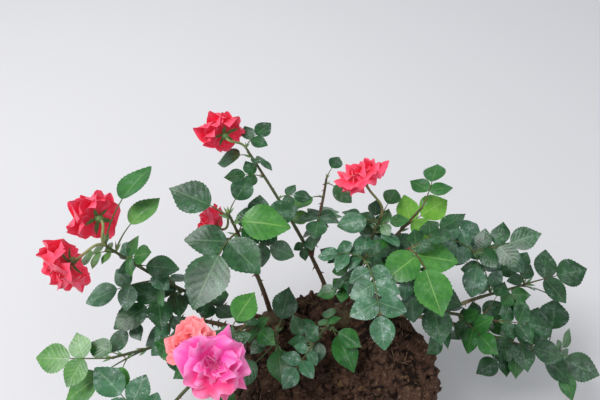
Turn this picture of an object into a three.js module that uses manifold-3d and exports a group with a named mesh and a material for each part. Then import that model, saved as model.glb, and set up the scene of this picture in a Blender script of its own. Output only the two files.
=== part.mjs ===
// A patio rose on its bare root ball: three woody knuckles, thin canes that branch, and leafy
// shoots with eight open blooms. Millimetres, +Z up. The origin is the middle of the flat
// underside of the root ball, and the plant's front is -Y.
import * as THREE from "three";
import { mergeVertices } from "three/addons/utils/BufferGeometryUtils.js";
import Module from "manifold-3d";

const wasm = await Module();
wasm.setup();

// Driving sizes, in millimetres unless an angle in degrees is meant.
const CLEARANCE = 0.3; // left between two pieces that meet
const BALL = { height: 140, topRadius: 96, footRadius: 80, bulge: 5, rough: 3.2, sides: 32, rows: 7 };
const KNUCKLE = { radius: 13, height: 18, sides: 9, footRing: 8, footShare: 0.5 };
const CANE = { footRadius: 2.5, endRadius: 1.75, sides: 5, steps: 4 };
const SHOOT = { footRadius: 1.75, endRadius: 1.05, sides: 5, steps: 7, handle: 0.36 };
const PEDICEL = { radius: 1.0, sides: 4, steps: 4, handle: 0.45, sink: 1 };
const LEAF = {
  petiole: 10, // bare stalk below the first pair of leaflets
  pairStep: 16, // from one pair of leaflets to the next
  tipStalk: 10, // from the last pair to the end leaflet
  bend: 0.42, // share of the stalk at which it turns level
  sideLength: 25,
  endLength: 31,
  aspect: 0.78, // width over length
  sideAngle: 66, // between a side leaflet and the stalk
  roll: 36, // from a leaf rolled most to one side to one rolled most to the other
  fewerSize: 0.85, // size of a leaf that is grown with a pair fewer
  extraPair: 0.2, // share of the leaves that have a pair more
  stalkRadius: 0.95,
  sink: 0.8, // of the stalk into its shoot
  rootWidth: 0.9, // half the width of a leaflet's root on the stalk
  keel: 0.6, // depth of the blade under its flat upper face
};
const GOLDEN_TURN = 137.5; // from one leaf to the next round a shoot
// What a new leaf keeps clear of the things in place: blades of each other, stalks of
// anything, the floor, and the soil above and beside the root ball.
const KEEP = { blade: 2.6, stalk: 1.5, floor: 4, soil: 4, soilSide: 8, sample: 8, beadStep: 4 };
// The changes of bearing and of slope at which a leaf is tried, in turn.
const TURNS = [0, 24, -24, 48, -48, 76, -76, 110, -110];
const SLOPES = [0, 16, -16, 34];
const BLOOM = {
  depth: 15, // from the hip's foot to the rim of the petals
  solidShare: 0.82, // of the radius, kept clear of leaves
  hipRadius: 3.4,
  sepal: 13,
  sides: 10,
  lobes: 5,
  lobeDepth: 0.12,
};

// Where the woody knuckles stand on the root ball.
const KNUCKLES = {
  left: [-65, 52],
  main: [3, 60],
  front: [14, -60],
};

// Each shoot runs from its foot to its tip. It comes from a knuckle, where foot is its bearing
// round the middle, or from another shoot's cane, where foot is the share of that shoot's length.
// rise and level are its slopes at its two ends, and bare is the leafless share that is a cane.
// turn is the bearing of its first leaf (0 is +X, 90 is +Y), fan the share of a full turn that
// its leaves use, size that of its leaves, and pairs their least number of leaflet pairs.
const SHOOTS = [
  { name: "upper_left", from: "main", foot: 150, tip: [-85, 153, 288],
    rise: 70, level: 38, bare: 0.42, leaves: 0, turn: 215, fan: 0.8, size: 0.62, pairs: 2, seed: 11,
    blooms: [{ at: [-108, 166, 300], bearing: 118, pitch: -2, radius: 22 }] },
  { name: "left_pair", from: "left", foot: 165, tip: [-190, 53, 285],
    rise: 30, level: 62, bare: 0.36, leaves: 2, turn: 230, fan: 0.8, size: 1.0, pairs: 2, seed: 12,
    blooms: [{ at: [-203, 76, 297], bearing: 140, pitch: -12, radius: 22 },
      { at: [-222, 34, 284], bearing: 196, pitch: -20, radius: 22 }] },
  { name: "centre_left", from: "left", foot: 100, tip: [-97, 90, 277],
    rise: 82, level: 66, bare: 0.66, leaves: 0, turn: 240, fan: 0.9, size: 1.3, pairs: 1, seed: 13,
    blooms: [{ at: [-122, 98, 248], bearing: 165, pitch: 8, radius: 20 }] },
  { name: "centre_top", from: "main", tip: [20, 66, 250],
    rise: 84, level: 75, bare: 0.4, leaves: 0, turn: 130, fan: 1.0, size: 0.95, pairs: 3, seed: 21 },
  { name: "back_centre", from: "back_right_young", foot: 0.22, tip: [36, 108, 246],
    rise: 76, level: 62, bare: 0.44, leaves: 0, turn: 330, fan: 0.8, size: 0.8, pairs: 2, seed: 14,
    blooms: [{ at: [14, 130, 284], bearing: 130, pitch: 42, radius: 23 }] },
  { name: "front_left_pair", from: "left", foot: 255, tip: [-98, -12, 248],
    rise: 72, level: 40, bare: 0.42, leaves: 0, turn: 250, fan: 0.8, size: 0.85, pairs: 2, seed: 15,
    blooms: [{ at: [-97, -42, 280], bearing: 285, pitch: 62, radius: 24 },
      { at: [-122, -18, 272], bearing: 150, pitch: 52, radius: 20 }] },
  { name: "lower_left", from: "left", foot: 205, tip: [-191, -10, 212],
    rise: 30, level: 20, bare: 0.38, leaves: 2, turn: 190, fan: 0.75, size: 0.9, pairs: 2, seed: 16 },
  { name: "front_left", from: "front_left_pair", foot: 0.2, tip: [-168, -78, 202],
    rise: 58, level: 8, bare: 0.38, leaves: 4, turn: 230, fan: 0.7, size: 1.15, pairs: 2, seed: 17 },
  { name: "left_inner", from: "lower_left", foot: 0.22, tip: [-172, 30, 204],
    rise: 48, level: 10, bare: 0.36, leaves: 3, turn: 120, fan: 0.75, size: 0.85, pairs: 2, seed: 18 },
  { name: "back_twig", from: "upper_left", foot: 0.37, tip: [-12, 152, 246],
    rise: 40, level: 66, bare: 0.3, leaves: 1, turn: 60, fan: 0.75, size: 0.62, pairs: 1, seed: 19 },
  { name: "back_right_young", from: "main", foot: 90, tip: [72, 112, 254],
    rise: 72, level: 45, bare: 0.42, leaves: 0, turn: 300, fan: 0.75, size: 0.7, pairs: 2, seed: 20 },
  { name: "centre_right", from: "right_back", foot: 0.13, tip: [58, 76, 242],
    rise: 66, level: 28, bare: 0.36, leaves: 0, turn: 300, fan: 0.8, size: 1.25, pairs: 2, seed: 22 },
  { name: "right_back", from: "main", foot: 30, tip: [140, 98, 210],
    rise: 60, level: 12, bare: 0.36, leaves: 6, turn: 150, fan: 0.75, size: 1.15, pairs: 2, seed: 23 },
  { name: "right_far", from: "right_low", foot: 0.36, tip: [188, 86, 158],
    rise: 34, level: -6, bare: 0.4, leaves: 2, turn: 40, fan: 0.75, size: 1.05, pairs: 2, seed: 24 },
  { name: "right_middle", from: "right_low", foot: 0.24, tip: [150, 44, 164],
    rise: 50, level: -4, bare: 0.36, leaves: 1, turn: 40, fan: 0.7, size: 1.0, pairs: 2, seed: 29 },
  { name: "right_low", from: "main", foot: -30, tip: [236, 38, 84],
    rise: 30, level: -24, bare: 0.46, leaves: 2, turn: 330, fan: 0.65, size: 1.0, pairs: 2, seed: 25 },
  { name: "soil_cover", from: "main", foot: -110, tip: [-26, 12, 184],
    rise: 40, level: 0, bare: 0.3, leaves: 1, turn: 240, fan: 0.7, size: 0.85, pairs: 2, seed: 26 },
  { name: "soil_edge", from: "left", foot: 310, tip: [-57, 14, 178],
    rise: 50, level: 0, bare: 0.4, leaves: 0, turn: 250, fan: 0.6, size: 0.6, pairs: 1, seed: 30 },
  { name: "front_right", from: "front", foot: -30, tip: [126, -118, 190],
    rise: 56, level: 6, bare: 0.4, leaves: 6, turn: 300, fan: 0.5, size: 1.1, pairs: 2, seed: 27 },
  { name: "front_middle", from: "front", foot: -90, tip: [30, -158, 210],
    rise: 66, level: 14, bare: 0.38, leaves: 6, turn: 200, fan: 0.55, size: 1.1, pairs: 2, seed: 28,
    blooms: [{ at: [30, -184, 232], bearing: 262, pitch: 30, radius: 21 }] },
  { name: "front_side", from: "front", foot: 210, tip: [-78, -132, 204],
    rise: 58, level: 10, bare: 0.4, leaves: 6, turn: 170, fan: 0.55, size: 1.1, pairs: 2, seed: 31 },
];

// The leaves that stand out are placed one by one. Each is the share of its shoot at which it
// grows, its bearing, its slope, the lengths of its stalk and of its end leaflet, and its number
// of leaflet pairs.
const SHOWN = {
  upper_left: [
    [1.0, 45, 5, 16, 19, 1], [0.95, 170, -20, 12, 26, 0], [0.84, 185, 0, 18, 20, 1],
    [0.72, 350, 5, 16, 18, 1]],
  left_pair: [
    [1.0, 66, 12, 40, 38, 0], [0.94, 55, 14, 26, 32, 0], [0.8, 355, 0, 8, 26, 0],
    [0.64, 200, -5, 40, 30, 1], [0.74, 320, 5, 10, 20, 0]],
  centre_left: [
    [0.84, 250, 0, 34, 46, 1], [0.92, 355, 0, 8, 42, 0], [0.96, 160, 22, 20, 40, 0],
    [0.99, 75, 12, 14, 26, 0], [0.74, 345, -12, 28, 24, 1], [0.69, 190, 0, 22, 22, 1]],
  centre_top: [
    [0.93, 275, -15, 64, 31, 3], [0.84, 75, 10, 6, 29, 0], [0.78, 145, -20, 30, 18, 1]],
  back_centre: [
    [1.0, 60, 5, 14, 22, 0], [0.85, 150, -5, 20, 20, 0], [0.93, 195, 10, 14, 28, 0],
    [0.8, 320, 0, 8, 23, 0]],
  front_left_pair: [
    [0.92, 60, 15, 16, 30, 0]],
  lower_left: [
    [1.0, 180, 3, 34, 29, 1], [0.95, 160, 5, 10, 24, 0], [0.9, 255, -12, 14, 24, 0],
    [0.8, 212, -6, 46, 36, 0]],
  left_inner: [
    [1.0, 230, -8, 20, 22, 1], [0.72, 145, 0, 10, 19, 0], [0.62, 235, -5, 16, 30, 0]],
  back_twig: [
    [1.0, 60, 5, 12, 18, 0], [0.93, 320, -5, 10, 22, 0], [0.74, 205, 6, 12, 28, 0],
    [0.52, 205, 0, 12, 19, 0]],
  back_right_young: [
    [0.78, 35, 5, 26, 34, 1], [1.0, 70, 5, 28, 27, 1]],
  centre_right: [
    [1.0, 285, -5, 26, 44, 1], [0.9, 265, -25, 30, 20, 0], [0.8, 275, -25, 40, 26, 0]],
  right_back: [
    [1.0, 340, -14, 8, 44, 0], [0.62, 38, 6, 52, 32, 2], [0.91, 255, -20, 18, 30, 0],
    [0.81, 290, -20, 14, 28, 0]],
  right_far: [
    [1.0, 14, 0, 36, 38, 1], [0.85, 280, -25, 8, 22, 0]],
  right_middle: [
    [0.81, 55, 0, 30, 18, 0], [0.72, 265, -20, 8, 26, 0]],
  right_low: [
    [0.85, 65, 15, 10, 40, 0], [0.92, 70, 10, 32, 38, 0], [0.76, 130, 15, 12, 26, 0],
    [0.81, 215, -10, 5, 26, 0], [0.9, 315, -5, 6, 36, 0], [1.0, 335, 0, 6, 42, 0],
    [0.95, 290, -15, 20, 31, 0]],
  soil_cover: [
    [0.34, 300, 2, 14, 34, 0], [0.42, 330, 5, 12, 26, 0], [0.6, 165, 5, 8, 21, 0],
    [0.76, 240, 0, 8, 20, 0]],
  soil_edge: [
    [1.0, 278, 4, 4, 30, 0], [0.86, 230, 4, 30, 28, 0], [0.6, 75, 20, 14, 29, 0],
    [0.48, 220, 5, 16, 19, 0]],
};
// The changes of bearing and of slope at which such a leaf is tried, in turn.
const SHOWN_TURNS = [0, 7, -7, 14, -14, 22, -22];
const SHOWN_SLOPES = [0, 8, -8, 16];

const UP = new THREE.Vector3(0, 0, 1);
const radians = THREE.MathUtils.degToRad;
const vector = (x, y, z) => new THREE.Vector3(x, y, z);
const unit = (bearing, pitch = 0) => vector(
  Math.cos(radians(bearing)) * Math.cos(radians(pitch)),
  Math.sin(radians(bearing)) * Math.cos(radians(pitch)),
  Math.sin(radians(pitch)),
);

// A repeatable stream of numbers from 0 to 1.
function numbersFrom(seed) {
  let state = seed >>> 0;
  return () => {
    state = (state + 0x6d2b79f5) >>> 0;
    let t = Math.imul(state ^ (state >>> 15), state | 1);
    t = (t + Math.imul(t ^ (t >>> 7), t | 61)) ^ t;
    return ((t ^ (t >>> 14)) >>> 0) / 4294967296;
  };
}

// A closed geometry as a solid, its points merged where they lie within the tolerance.
function solidFrom(geometry, tolerance = 1e-4) {
  const plain = geometry.clone();
  for (const name of Object.keys(plain.attributes))
    if (name !== "position") plain.deleteAttribute(name);
  const merged = mergeVertices(plain, tolerance);
  return new wasm.Manifold(new wasm.Mesh({
    numProp: 3,
    vertProperties: new Float32Array(merged.attributes.position.array),
    triVerts: new Uint32Array(merged.index.array),
  }));
}

function solidOf(points, faces) {
  const geometry = new THREE.BufferGeometry();
  geometry.setAttribute("position",
    new THREE.BufferAttribute(new Float32Array(points.flatMap((p) => p.toArray())), 3));
  geometry.setIndex(faces.flat());
  return solidFrom(geometry);
}

function geometryOf(solid) {
  const { numProp, numVert, vertProperties, triVerts } = solid.getMesh();
  const positions = new Float32Array(numVert * 3);
  for (let i = 0; i < numVert; i++)
    positions.set(vertProperties.subarray(i * numProp, i * numProp + 3), i * 3);
  const geometry = new THREE.BufferGeometry();
  geometry.setAttribute("position", new THREE.BufferAttribute(positions, 3));
  geometry.setIndex(new THREE.BufferAttribute(new Uint32Array(triVerts), 1));
  return geometry;
}

function meshFrom(name, solid, material) {
  const geometry = geometryOf(solid);
  geometry.computeVertexNormals();
  const mesh = new THREE.Mesh(geometry, material);
  mesh.name = name;
  return mesh;
}

// The one largest closed body of a solid: loose scraps and sealed hollows are dropped.
const largestBody = (solid) => solid.decompose()
  .reduce((best, body) => (body.volume() > best.volume() ? body : best));

// A union of pieces, cleaned of slivers, and once more after points that nearly meet are merged.
const SLIVER = 0.02;
const MERGE = 2e-3;
const fused = (pieces) => largestBody(solidFrom(
  geometryOf(largestBody(wasm.Manifold.union(pieces).simplify(SLIVER))), MERGE));

// A stalk, cane or shoot: a cylinder bent along a curve, from radius r0 to r1, with a ring of
// points at each share of its length.
function limb(curve, r0, r1, sides, shares) {
  const geometry = new THREE.CylinderGeometry(1, 1, 1, sides, shares.length - 1);
  const position = geometry.getAttribute("position");
  const chord = curve.getPoint(1).sub(curve.getPoint(0));
  let across = chord.clone().cross(UP);
  if (across.length() < 0.2 * chord.length()) across = chord.clone().cross(vector(0, 1, 0));
  across.normalize();
  for (let i = 0; i < position.count; i++) {
    const t = shares[Math.round((position.getY(i) + 0.5) * (shares.length - 1))];
    const along = curve.getTangent(t);
    const side = across.clone().addScaledVector(along, -across.dot(along)).normalize();
    const other = side.clone().cross(along);
    const radius = r0 + (r1 - r0) * t;
    const point = curve.getPoint(t)
      .addScaledVector(side, position.getX(i) * radius)
      .addScaledVector(other, position.getZ(i) * radius);
    position.setXYZ(i, point.x, point.y, point.z);
  }
  return solidFrom(geometry);
}

const evenShares = (steps) => Array.from({ length: steps + 1 }, (_, i) => i / steps);

// The half width of a leaflet at share s of its length.
const leafHalfWidth = (s) => 0.5 * LEAF.aspect * Math.sin(Math.PI * Math.max(s, 0) ** 0.82) ** 0.75;

// The curve of a shoot, which rises from its foot and levels out towards its tip.
function shootCurve(shoot) {
  const foot = vector(0, 0, 0);
  if (KNUCKLES[shoot.from]) {
    foot.set(...KNUCKLES[shoot.from], BALL.height + KNUCKLE.height * KNUCKLE.footShare);
    if (shoot.foot !== undefined) foot.addScaledVector(unit(shoot.foot), KNUCKLE.footRing);
  } else {
    foot.copy(curves.get(shoot.from).getPoint(shoot.foot));
  }
  const tip = vector(...shoot.tip);
  const chord = tip.clone().sub(foot);
  const bearing = THREE.MathUtils.radToDeg(Math.atan2(chord.y, chord.x));
  const handle = chord.length() * SHOOT.handle;
  return new THREE.CubicBezierCurve3(
    foot,
    foot.clone().addScaledVector(unit(bearing, shoot.rise), handle),
    tip.clone().addScaledVector(unit(bearing, shoot.level), -handle),
    tip,
  );
}

// The stretch of a curve between two shares of it.
const part = (curve, from, to) => {
  const piece = new THREE.Curve();
  piece.getPoint = (t) => curve.getPoint(from + (to - from) * t);
  piece.getTangent = (t) => curve.getTangent(from + (to - from) * t);
  return piece;
};

// The stalk of a bloom, from its shoot's tip to the hip under the petals.
function pedicelCurve(curve, bloom) {
  const tip = curve.getPoint(1);
  const onward = curve.getTangent(1);
  const axis = unit(bloom.bearing, bloom.pitch);
  const base = vector(...bloom.at).addScaledVector(axis, -BLOOM.depth);
  const handle = base.distanceTo(tip) * PEDICEL.handle;
  return new THREE.CubicBezierCurve3(
    tip.clone().addScaledVector(onward, -PEDICEL.sink),
    tip.clone().addScaledVector(onward, handle),
    base.clone().addScaledVector(axis, -handle),
    base.clone().addScaledVector(axis, PEDICEL.sink),
  );
}

// The usual length of the stalk of a leaf of that size.
const stalkLength = (size, pairs) =>
  (LEAF.petiole + LEAF.pairStep * (pairs - 1) + LEAF.tipStalk) * size;

// A compound leaf: a stalk and, along it, pairs of leaflets and one at its end. The stalk
// starts between the shoot's own direction and its bearing, and bends level. A leaflet is its
// root, its direction, the normal of its face, the direction across it, and its span.
function compoundLeaf(node, along, bearing, lift, size, length, pairs, random) {
  const out = unit(bearing);
  const start = along.clone().multiplyScalar(0.55).addScaledVector(out, 0.85)
    .addScaledVector(UP, 0.15).normalize();
  const end = unit(bearing, lift);
  const bend = node.clone().addScaledVector(start, length * LEAF.bend);
  const stalk = new THREE.QuadraticBezierCurve3(
    node.clone().addScaledVector(start, -LEAF.sink),
    bend,
    bend.clone().addScaledVector(end, length * (1 - LEAF.bend)),
  );
  const shares = [];
  const tilt = radians((random() - 0.5) * LEAF.roll);
  const normal = UP.clone().addScaledVector(end, -UP.dot(end)).normalize()
    .applyAxisAngle(end, tilt);
  const side = normal.clone().cross(end);
  const leaflets = [];
  const add = (root, direction, span) => {
    const lean = (random() - 0.5) * 0.3;
    const face = normal.clone().addScaledVector(direction, -normal.dot(direction)).normalize()
      .applyAxisAngle(direction, lean);
    leaflets.push({ root, direction, normal: face, across: face.clone().cross(direction), span });
  };
  for (let pair = 0; pair < pairs; pair++) {
    const fromEnd = LEAF.tipStalk + LEAF.pairStep * (pairs - 1 - pair);
    shares.push(1 - fromEnd * size / length);
    const root = stalk.getPoint(shares[pair]);
    const span = LEAF.sideLength * size * (pairs > 1 ? 0.88 + 0.2 * pair / (pairs - 1) : 1);
    for (const hand of [1, -1]) {
      const direction = end.clone().multiplyScalar(Math.cos(radians(LEAF.sideAngle)))
        .addScaledVector(side, hand * Math.sin(radians(LEAF.sideAngle)))
        .addScaledVector(normal, 0.16 * (random() - 0.3)).normalize();
      add(root, direction, span * (0.92 + 0.16 * random()));
    }
  }
  add(stalk.getPoint(1), end.clone().addScaledVector(normal, -0.12).normalize(),
    LEAF.endLength * size * (0.92 + 0.16 * random()));
  return { stalk, shares, leaflets, side, length };
}

const leafPoint = (leaflet, s, w) => leaflet.root.clone()
  .addScaledVector(leaflet.direction, s * leaflet.span)
  .addScaledVector(leaflet.across, w * leaflet.span);

// Points on the outline and midrib of a leaflet, for the clearance test.
function leafSamples(leaflet) {
  const points = [];
  for (let i = 0; i <= KEEP.sample; i++) {
    const share = i / KEEP.sample;
    const w = leafHalfWidth(share);
    points.push(leafPoint(leaflet, share, -w), leafPoint(leaflet, share, 0), leafPoint(leaflet, share, w));
  }
  return points;
}

// Tells whether a ball of that radius comes within a gap of the leaflet.
function meetsLeaflet(point, radius, leaflet, gap) {
  const offset = point.clone().sub(leaflet.root);
  const reach = radius + gap;
  if (Math.abs(offset.dot(leaflet.normal)) > reach) return false;
  const s = offset.dot(leaflet.direction);
  if (s < -reach || s > leaflet.span + reach) return false;
  const share = THREE.MathUtils.clamp(s / leaflet.span, 0, 1);
  return Math.abs(offset.dot(leaflet.across)) < leafHalfWidth(share) * leaflet.span + reach;
}

// The balls that stand for a stalk in the clearance test.
function beadsAlong(curve, from, r0, r1, owner) {
  const reach = curve.getPoint(from).distanceTo(curve.getPoint(1));
  const count = Math.max(2, Math.ceil(reach / KEEP.beadStep) + 1);
  return Array.from({ length: count }, (_, i) => {
    const share = i / (count - 1);
    return { at: curve.getPoint(from + (1 - from) * share), radius: r0 + (r1 - r0) * share, owner };
  });
}

// Everything that is already in place, which a new leaf has to stay clear of.
const placed = { beads: [], leaflets: [] };

const inSoil = (p) => p.z < KEEP.floor
  || (p.z < BALL.height + KEEP.soil && Math.hypot(p.x, p.y) < BALL.topRadius + KEEP.soilSide);

function stalkIsClear(bead) {
  return !inSoil(bead.at)
    && !placed.beads.some((other) => other.owner !== bead.owner
      && other.at.distanceTo(bead.at) < other.radius + bead.radius + KEEP.stalk)
    && !placed.leaflets.some((leaflet) => meetsLeaflet(bead.at, bead.radius, leaflet, KEEP.stalk));
}

function leafletIsClear(leaflet) {
  leaflet.samples = leafSamples(leaflet);
  const meets = (samples, other) => samples.some((p) => meetsLeaflet(p, 0, other, KEEP.blade));
  return !leaflet.samples.some(inSoil)
    && !placed.leaflets.some((other) => other.root.distanceTo(leaflet.root) < other.span + leaflet.span
      && (meets(leaflet.samples, other) || meets(other.samples, leaflet)))
    && !placed.beads.some((bead) => bead.at.distanceTo(leaflet.root) < leaflet.span + 2 * bead.radius
      && (leaflet.samples.some((p) => p.distanceTo(bead.at) < bead.radius + 1)
        || meetsLeaflet(bead.at, Math.min(bead.radius, CANE.footRadius), leaflet, KEEP.stalk)));
}

// A leaf is added if its stalk and all its leaflets are clear.
function placeLeaf(leaf, owner) {
  const beads = beadsAlong(leaf.stalk, 0.12, LEAF.stalkRadius, LEAF.stalkRadius, owner);
  if (!beads.every(stalkIsClear) || !leaf.leaflets.every(leafletIsClear)) return false;
  placed.leaflets.push(...leaf.leaflets);
  placed.beads.push(...beads.map((bead) => ({ ...bead, owner: owner + "_leaf" })));
  return true;
}

// The leaves of a shoot that stand out, each where its list says or as near to it as is clear.
function placeShown(shoot, curve) {
  const leaves = [];
  const trials = SHOWN_TURNS.flatMap((turn) => SHOWN_SLOPES.map((slope) => ({ turn, slope })));
  (SHOWN[shoot.name] ?? []).forEach(([t, bearing, lift, length, blade, pairs], i) => {
    const [node, along] = [curve.getPoint(t), curve.getTangent(t)];
    for (const { turn, slope } of trials) {
      const leaf = compoundLeaf(node, along, bearing + turn, lift + slope,
        blade / LEAF.endLength, length, pairs, numbersFrom(shoot.seed * 100 + i));
      if (placeLeaf(leaf, shoot.name)) {
        leaves.push(leaf);
        break;
      }
    }
  });
  return leaves;
}

// The other leaves of a shoot, from its lowest to its tip. Each turns on from the last, and is
// tried at a few bearings and slopes, then with a pair of leaflets fewer, until it is clear. A
// leaf that finds no room is left out.
function growLeaves(shoot, curve) {
  const random = numbersFrom(shoot.seed);
  const chord = curve.getPoint(1).sub(curve.getPoint(0));
  const heading = THREE.MathUtils.radToDeg(Math.atan2(chord.y, chord.x));
  const leaves = [];
  for (let i = 0; i < shoot.leaves; i++) {
    const share = shoot.blooms ? (i + 0.5) / (shoot.leaves + 0.3) : (i + 0.6) / (shoot.leaves - 0.4);
    const t = shoot.bare + (1 - shoot.bare) * share;
    const [node, along] = [curve.getPoint(t), curve.getTangent(t)];
    const endLeaf = !shoot.blooms && i === shoot.leaves - 1;
    const bearing = endLeaf ? heading : shoot.turn + GOLDEN_TURN * i;
    const size = shoot.size * (1.12 - 0.26 * share) * (0.92 + 0.16 * random());
    const lift = 2 + 22 * (random() - 0.5);
    const pairs = Math.min(3, shoot.pairs + (random() < LEAF.extraPair ? 1 : 0));
    const shape = Math.floor(random() * 1e6);
    const trials = (pairs > 1 ? [0, 1] : [0]).flatMap((fewer) =>
      TURNS.flatMap((turn) => SLOPES.map((slope) => ({ fewer, turn, slope }))));
    for (const { fewer, turn, slope } of trials) {
      const relative = shoot.fan * (((bearing + turn - heading) % 360 + 540) % 360 - 180);
      const grown = size * (fewer ? LEAF.fewerSize : 1);
      const leaf = compoundLeaf(node, along, heading + relative, lift + slope, grown,
        stalkLength(grown, pairs - fewer), pairs - fewer, numbersFrom(shape));
      if (placeLeaf(leaf, shoot.name)) {
        leaves.push(leaf);
        break;
      }
    }
  }
  return leaves;
}

// A compound leaf as one closed surface. Its stalk is three-sided, with a flat top, and has two
// rings of points at each pair of leaflets. Between them its flanks open out into the blades.
function leafSolid(leaf) {
  const points = [];
  const faces = [];
  const put = (point) => points.push(point) - 1;
  const quad = (a, b, c, d) => faces.push([a, b, c], [a, c, d]);
  const ring = (share) => {
    const centre = leaf.stalk.getPoint(share);
    const along = leaf.stalk.getTangent(share);
    const side = leaf.side.clone().addScaledVector(along, -leaf.side.dot(along)).normalize();
    const up = along.clone().cross(side);
    const radius = LEAF.stalkRadius * (1 - 0.3 * share);
    const at = (angle) => put(centre.clone()
      .addScaledVector(side, radius * Math.cos(radians(angle)))
      .addScaledVector(up, radius * Math.sin(radians(angle))));
    return { left: at(30), right: at(150), low: at(-90) };
  };
  // A blade is flat above, from the edge top1 to top2 of the stalk, and fanned below to a keel.
  const blade = (leaflet, top1, top2, low1, low2) => {
    const keel = put(leafPoint(leaflet, 0.34, 0).addScaledVector(leaflet.normal, -LEAF.keel));
    const [a, b, c, d, e] = [[0.26, -1], [0.64, -1], [1, 0], [0.64, 1], [0.26, 1]]
      .map(([s, hand]) => put(leafPoint(leaflet, s, hand * leafHalfWidth(s))));
    quad(top1, top2, a, e);
    quad(e, a, b, d);
    faces.push([d, b, c], [top2, low2, a], [low1, top1, e]);
    const under = [...(low1 === low2 ? [low1] : [low2, low1]), e, d, c, b, a];
    under.forEach((point, i) => faces.push([point, under[(i + 1) % under.length], keel]));
  };
  const half = LEAF.rootWidth / leaf.length;
  const rings = [0, ...leaf.shares.flatMap((share) => [share - half, share + half]), 1].map(ring);
  faces.push([rings[0].left, rings[0].low, rings[0].right]);
  rings.slice(1).forEach((b, i) => {
    const a = rings[i];
    quad(a.left, a.right, b.right, b.left);
    if (i % 2 === 1) {
      blade(leaf.leaflets[i - 1], a.left, b.left, a.low, b.low);
      blade(leaf.leaflets[i], b.right, a.right, b.low, a.low);
    } else {
      quad(a.right, a.low, b.low, b.right);
      quad(a.low, a.left, b.left, b.low);
    }
  });
  const end = rings.at(-1);
  blade(leaf.leaflets.at(-1), end.left, end.right, end.low, end.low);
  return solidOf(points, faces);
}

// A bloom: a round of petals on a green hip, its rim drawn out in five lobes, and five sepals.
// The profile gives radius and height as shares of the bloom's radius and depth.
function bloomSolids(bloom) {
  const axis = unit(bloom.bearing, bloom.pitch);
  const base = vector(...bloom.at).addScaledVector(axis, -BLOOM.depth);
  const first = UP.clone().cross(axis).normalize();
  const second = axis.clone().cross(first);
  const hip = BLOOM.hipRadius / bloom.radius;
  const profile = [[0, 0], [hip, 0.03], [hip * 1.1, 0.36], [0.55, 0.5], [1, 0.86],
    [0.62, 1], [0.4, 1.26], [0, 1.2]].map(([r, h]) => new THREE.Vector2(r, h));
  const geometry = new THREE.LatheGeometry(profile, BLOOM.sides);
  const position = geometry.getAttribute("position");
  for (let i = 0; i < position.count; i++) {
    const [x, h, z] = [position.getX(i), position.getY(i), position.getZ(i)];
    const reach = Math.hypot(x, z);
    const lobe = 1 + BLOOM.lobeDepth * reach * Math.cos(BLOOM.lobes * Math.atan2(z, x));
    const point = base.clone().addScaledVector(axis, h * BLOOM.depth)
      .addScaledVector(first, z * bloom.radius * lobe)
      .addScaledVector(second, x * bloom.radius * lobe);
    position.setXYZ(i, point.x, point.y, point.z);
  }
  const solids = [solidFrom(geometry)];
  for (let i = 0; i < BLOOM.lobes; i++) {
    const out = first.clone().applyAxisAngle(axis, radians(i * 360 / BLOOM.lobes + 20));
    const side = axis.clone().cross(out);
    const root = base.clone().addScaledVector(axis, BLOOM.depth * 0.3);
    const at = (s, w, h) => root.clone().addScaledVector(out, s * BLOOM.sepal)
      .addScaledVector(side, w * BLOOM.sepal).addScaledVector(axis, h - 1.5 * s * s);
    const points = [at(0.1, 0, 0), at(0.4, 0.16, 0), at(1, 0, 0), at(0.4, -0.16, 0), at(0.3, 0, -0.6)];
    solids.push(solidOf(points, [[0, 2, 1], [0, 3, 2], [0, 1, 4], [1, 2, 4], [2, 3, 4], [3, 0, 4]]));
  }
  return solids;
}

// The root ball: a tapering round of soil, rough all over but for its flat underside and a
// level spot under each knuckle.
function rootBallSolid() {
  const profile = [new THREE.Vector2(0, 0), new THREE.Vector2(BALL.footRadius / 2, 0)];
  for (let i = 0; i < BALL.rows; i++) {
    const share = i / BALL.rows;
    const radius = THREE.MathUtils.lerp(BALL.footRadius, BALL.topRadius, share)
      + BALL.bulge * Math.sin(Math.PI * share);
    profile.push(new THREE.Vector2(radius, BALL.height * share));
  }
  profile.push(new THREE.Vector2(BALL.topRadius * 0.93, BALL.height - 3));
  for (const share of [0.8, 0.6, 0.4, 0.2, 0])
    profile.push(new THREE.Vector2(BALL.topRadius * share, BALL.height));
  const geometry = new THREE.LatheGeometry(profile, BALL.sides);
  geometry.rotateX(Math.PI / 2);
  const position = geometry.getAttribute("position");
  for (let i = 0; i < position.count; i++) {
    const [x, y, z] = [position.getX(i), position.getY(i), position.getZ(i)];
    if (z < 1) continue;
    const onTop = z > BALL.height - 1;
    const angle = Math.atan2(y, x);
    const wave = Math.sin(3 * angle + z / 23) + 0.7 * Math.sin(7 * angle - z / 11)
      + 0.6 * Math.sin(x / 9 + y / 13) * Math.cos(z / 8);
    const swell = 1 + BALL.rough * wave / BALL.topRadius * (onTop ? 0.4 : 1);
    const nearest = Math.min(...Object.values(KNUCKLES)
      .map(([kx, ky]) => Math.hypot(x * swell - kx, y * swell - ky)));
    const free = THREE.MathUtils.smoothstep(nearest, KNUCKLE.radius + 8, KNUCKLE.radius + 22);
    const hump = onTop ? free * (-1.5 + 2.2 * Math.sin(x / 11 + 1) * Math.cos(y / 9)) : 0;
    position.setXYZ(i, x * swell, y * swell, z + hump);
  }
  return solidFrom(geometry);
}

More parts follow.
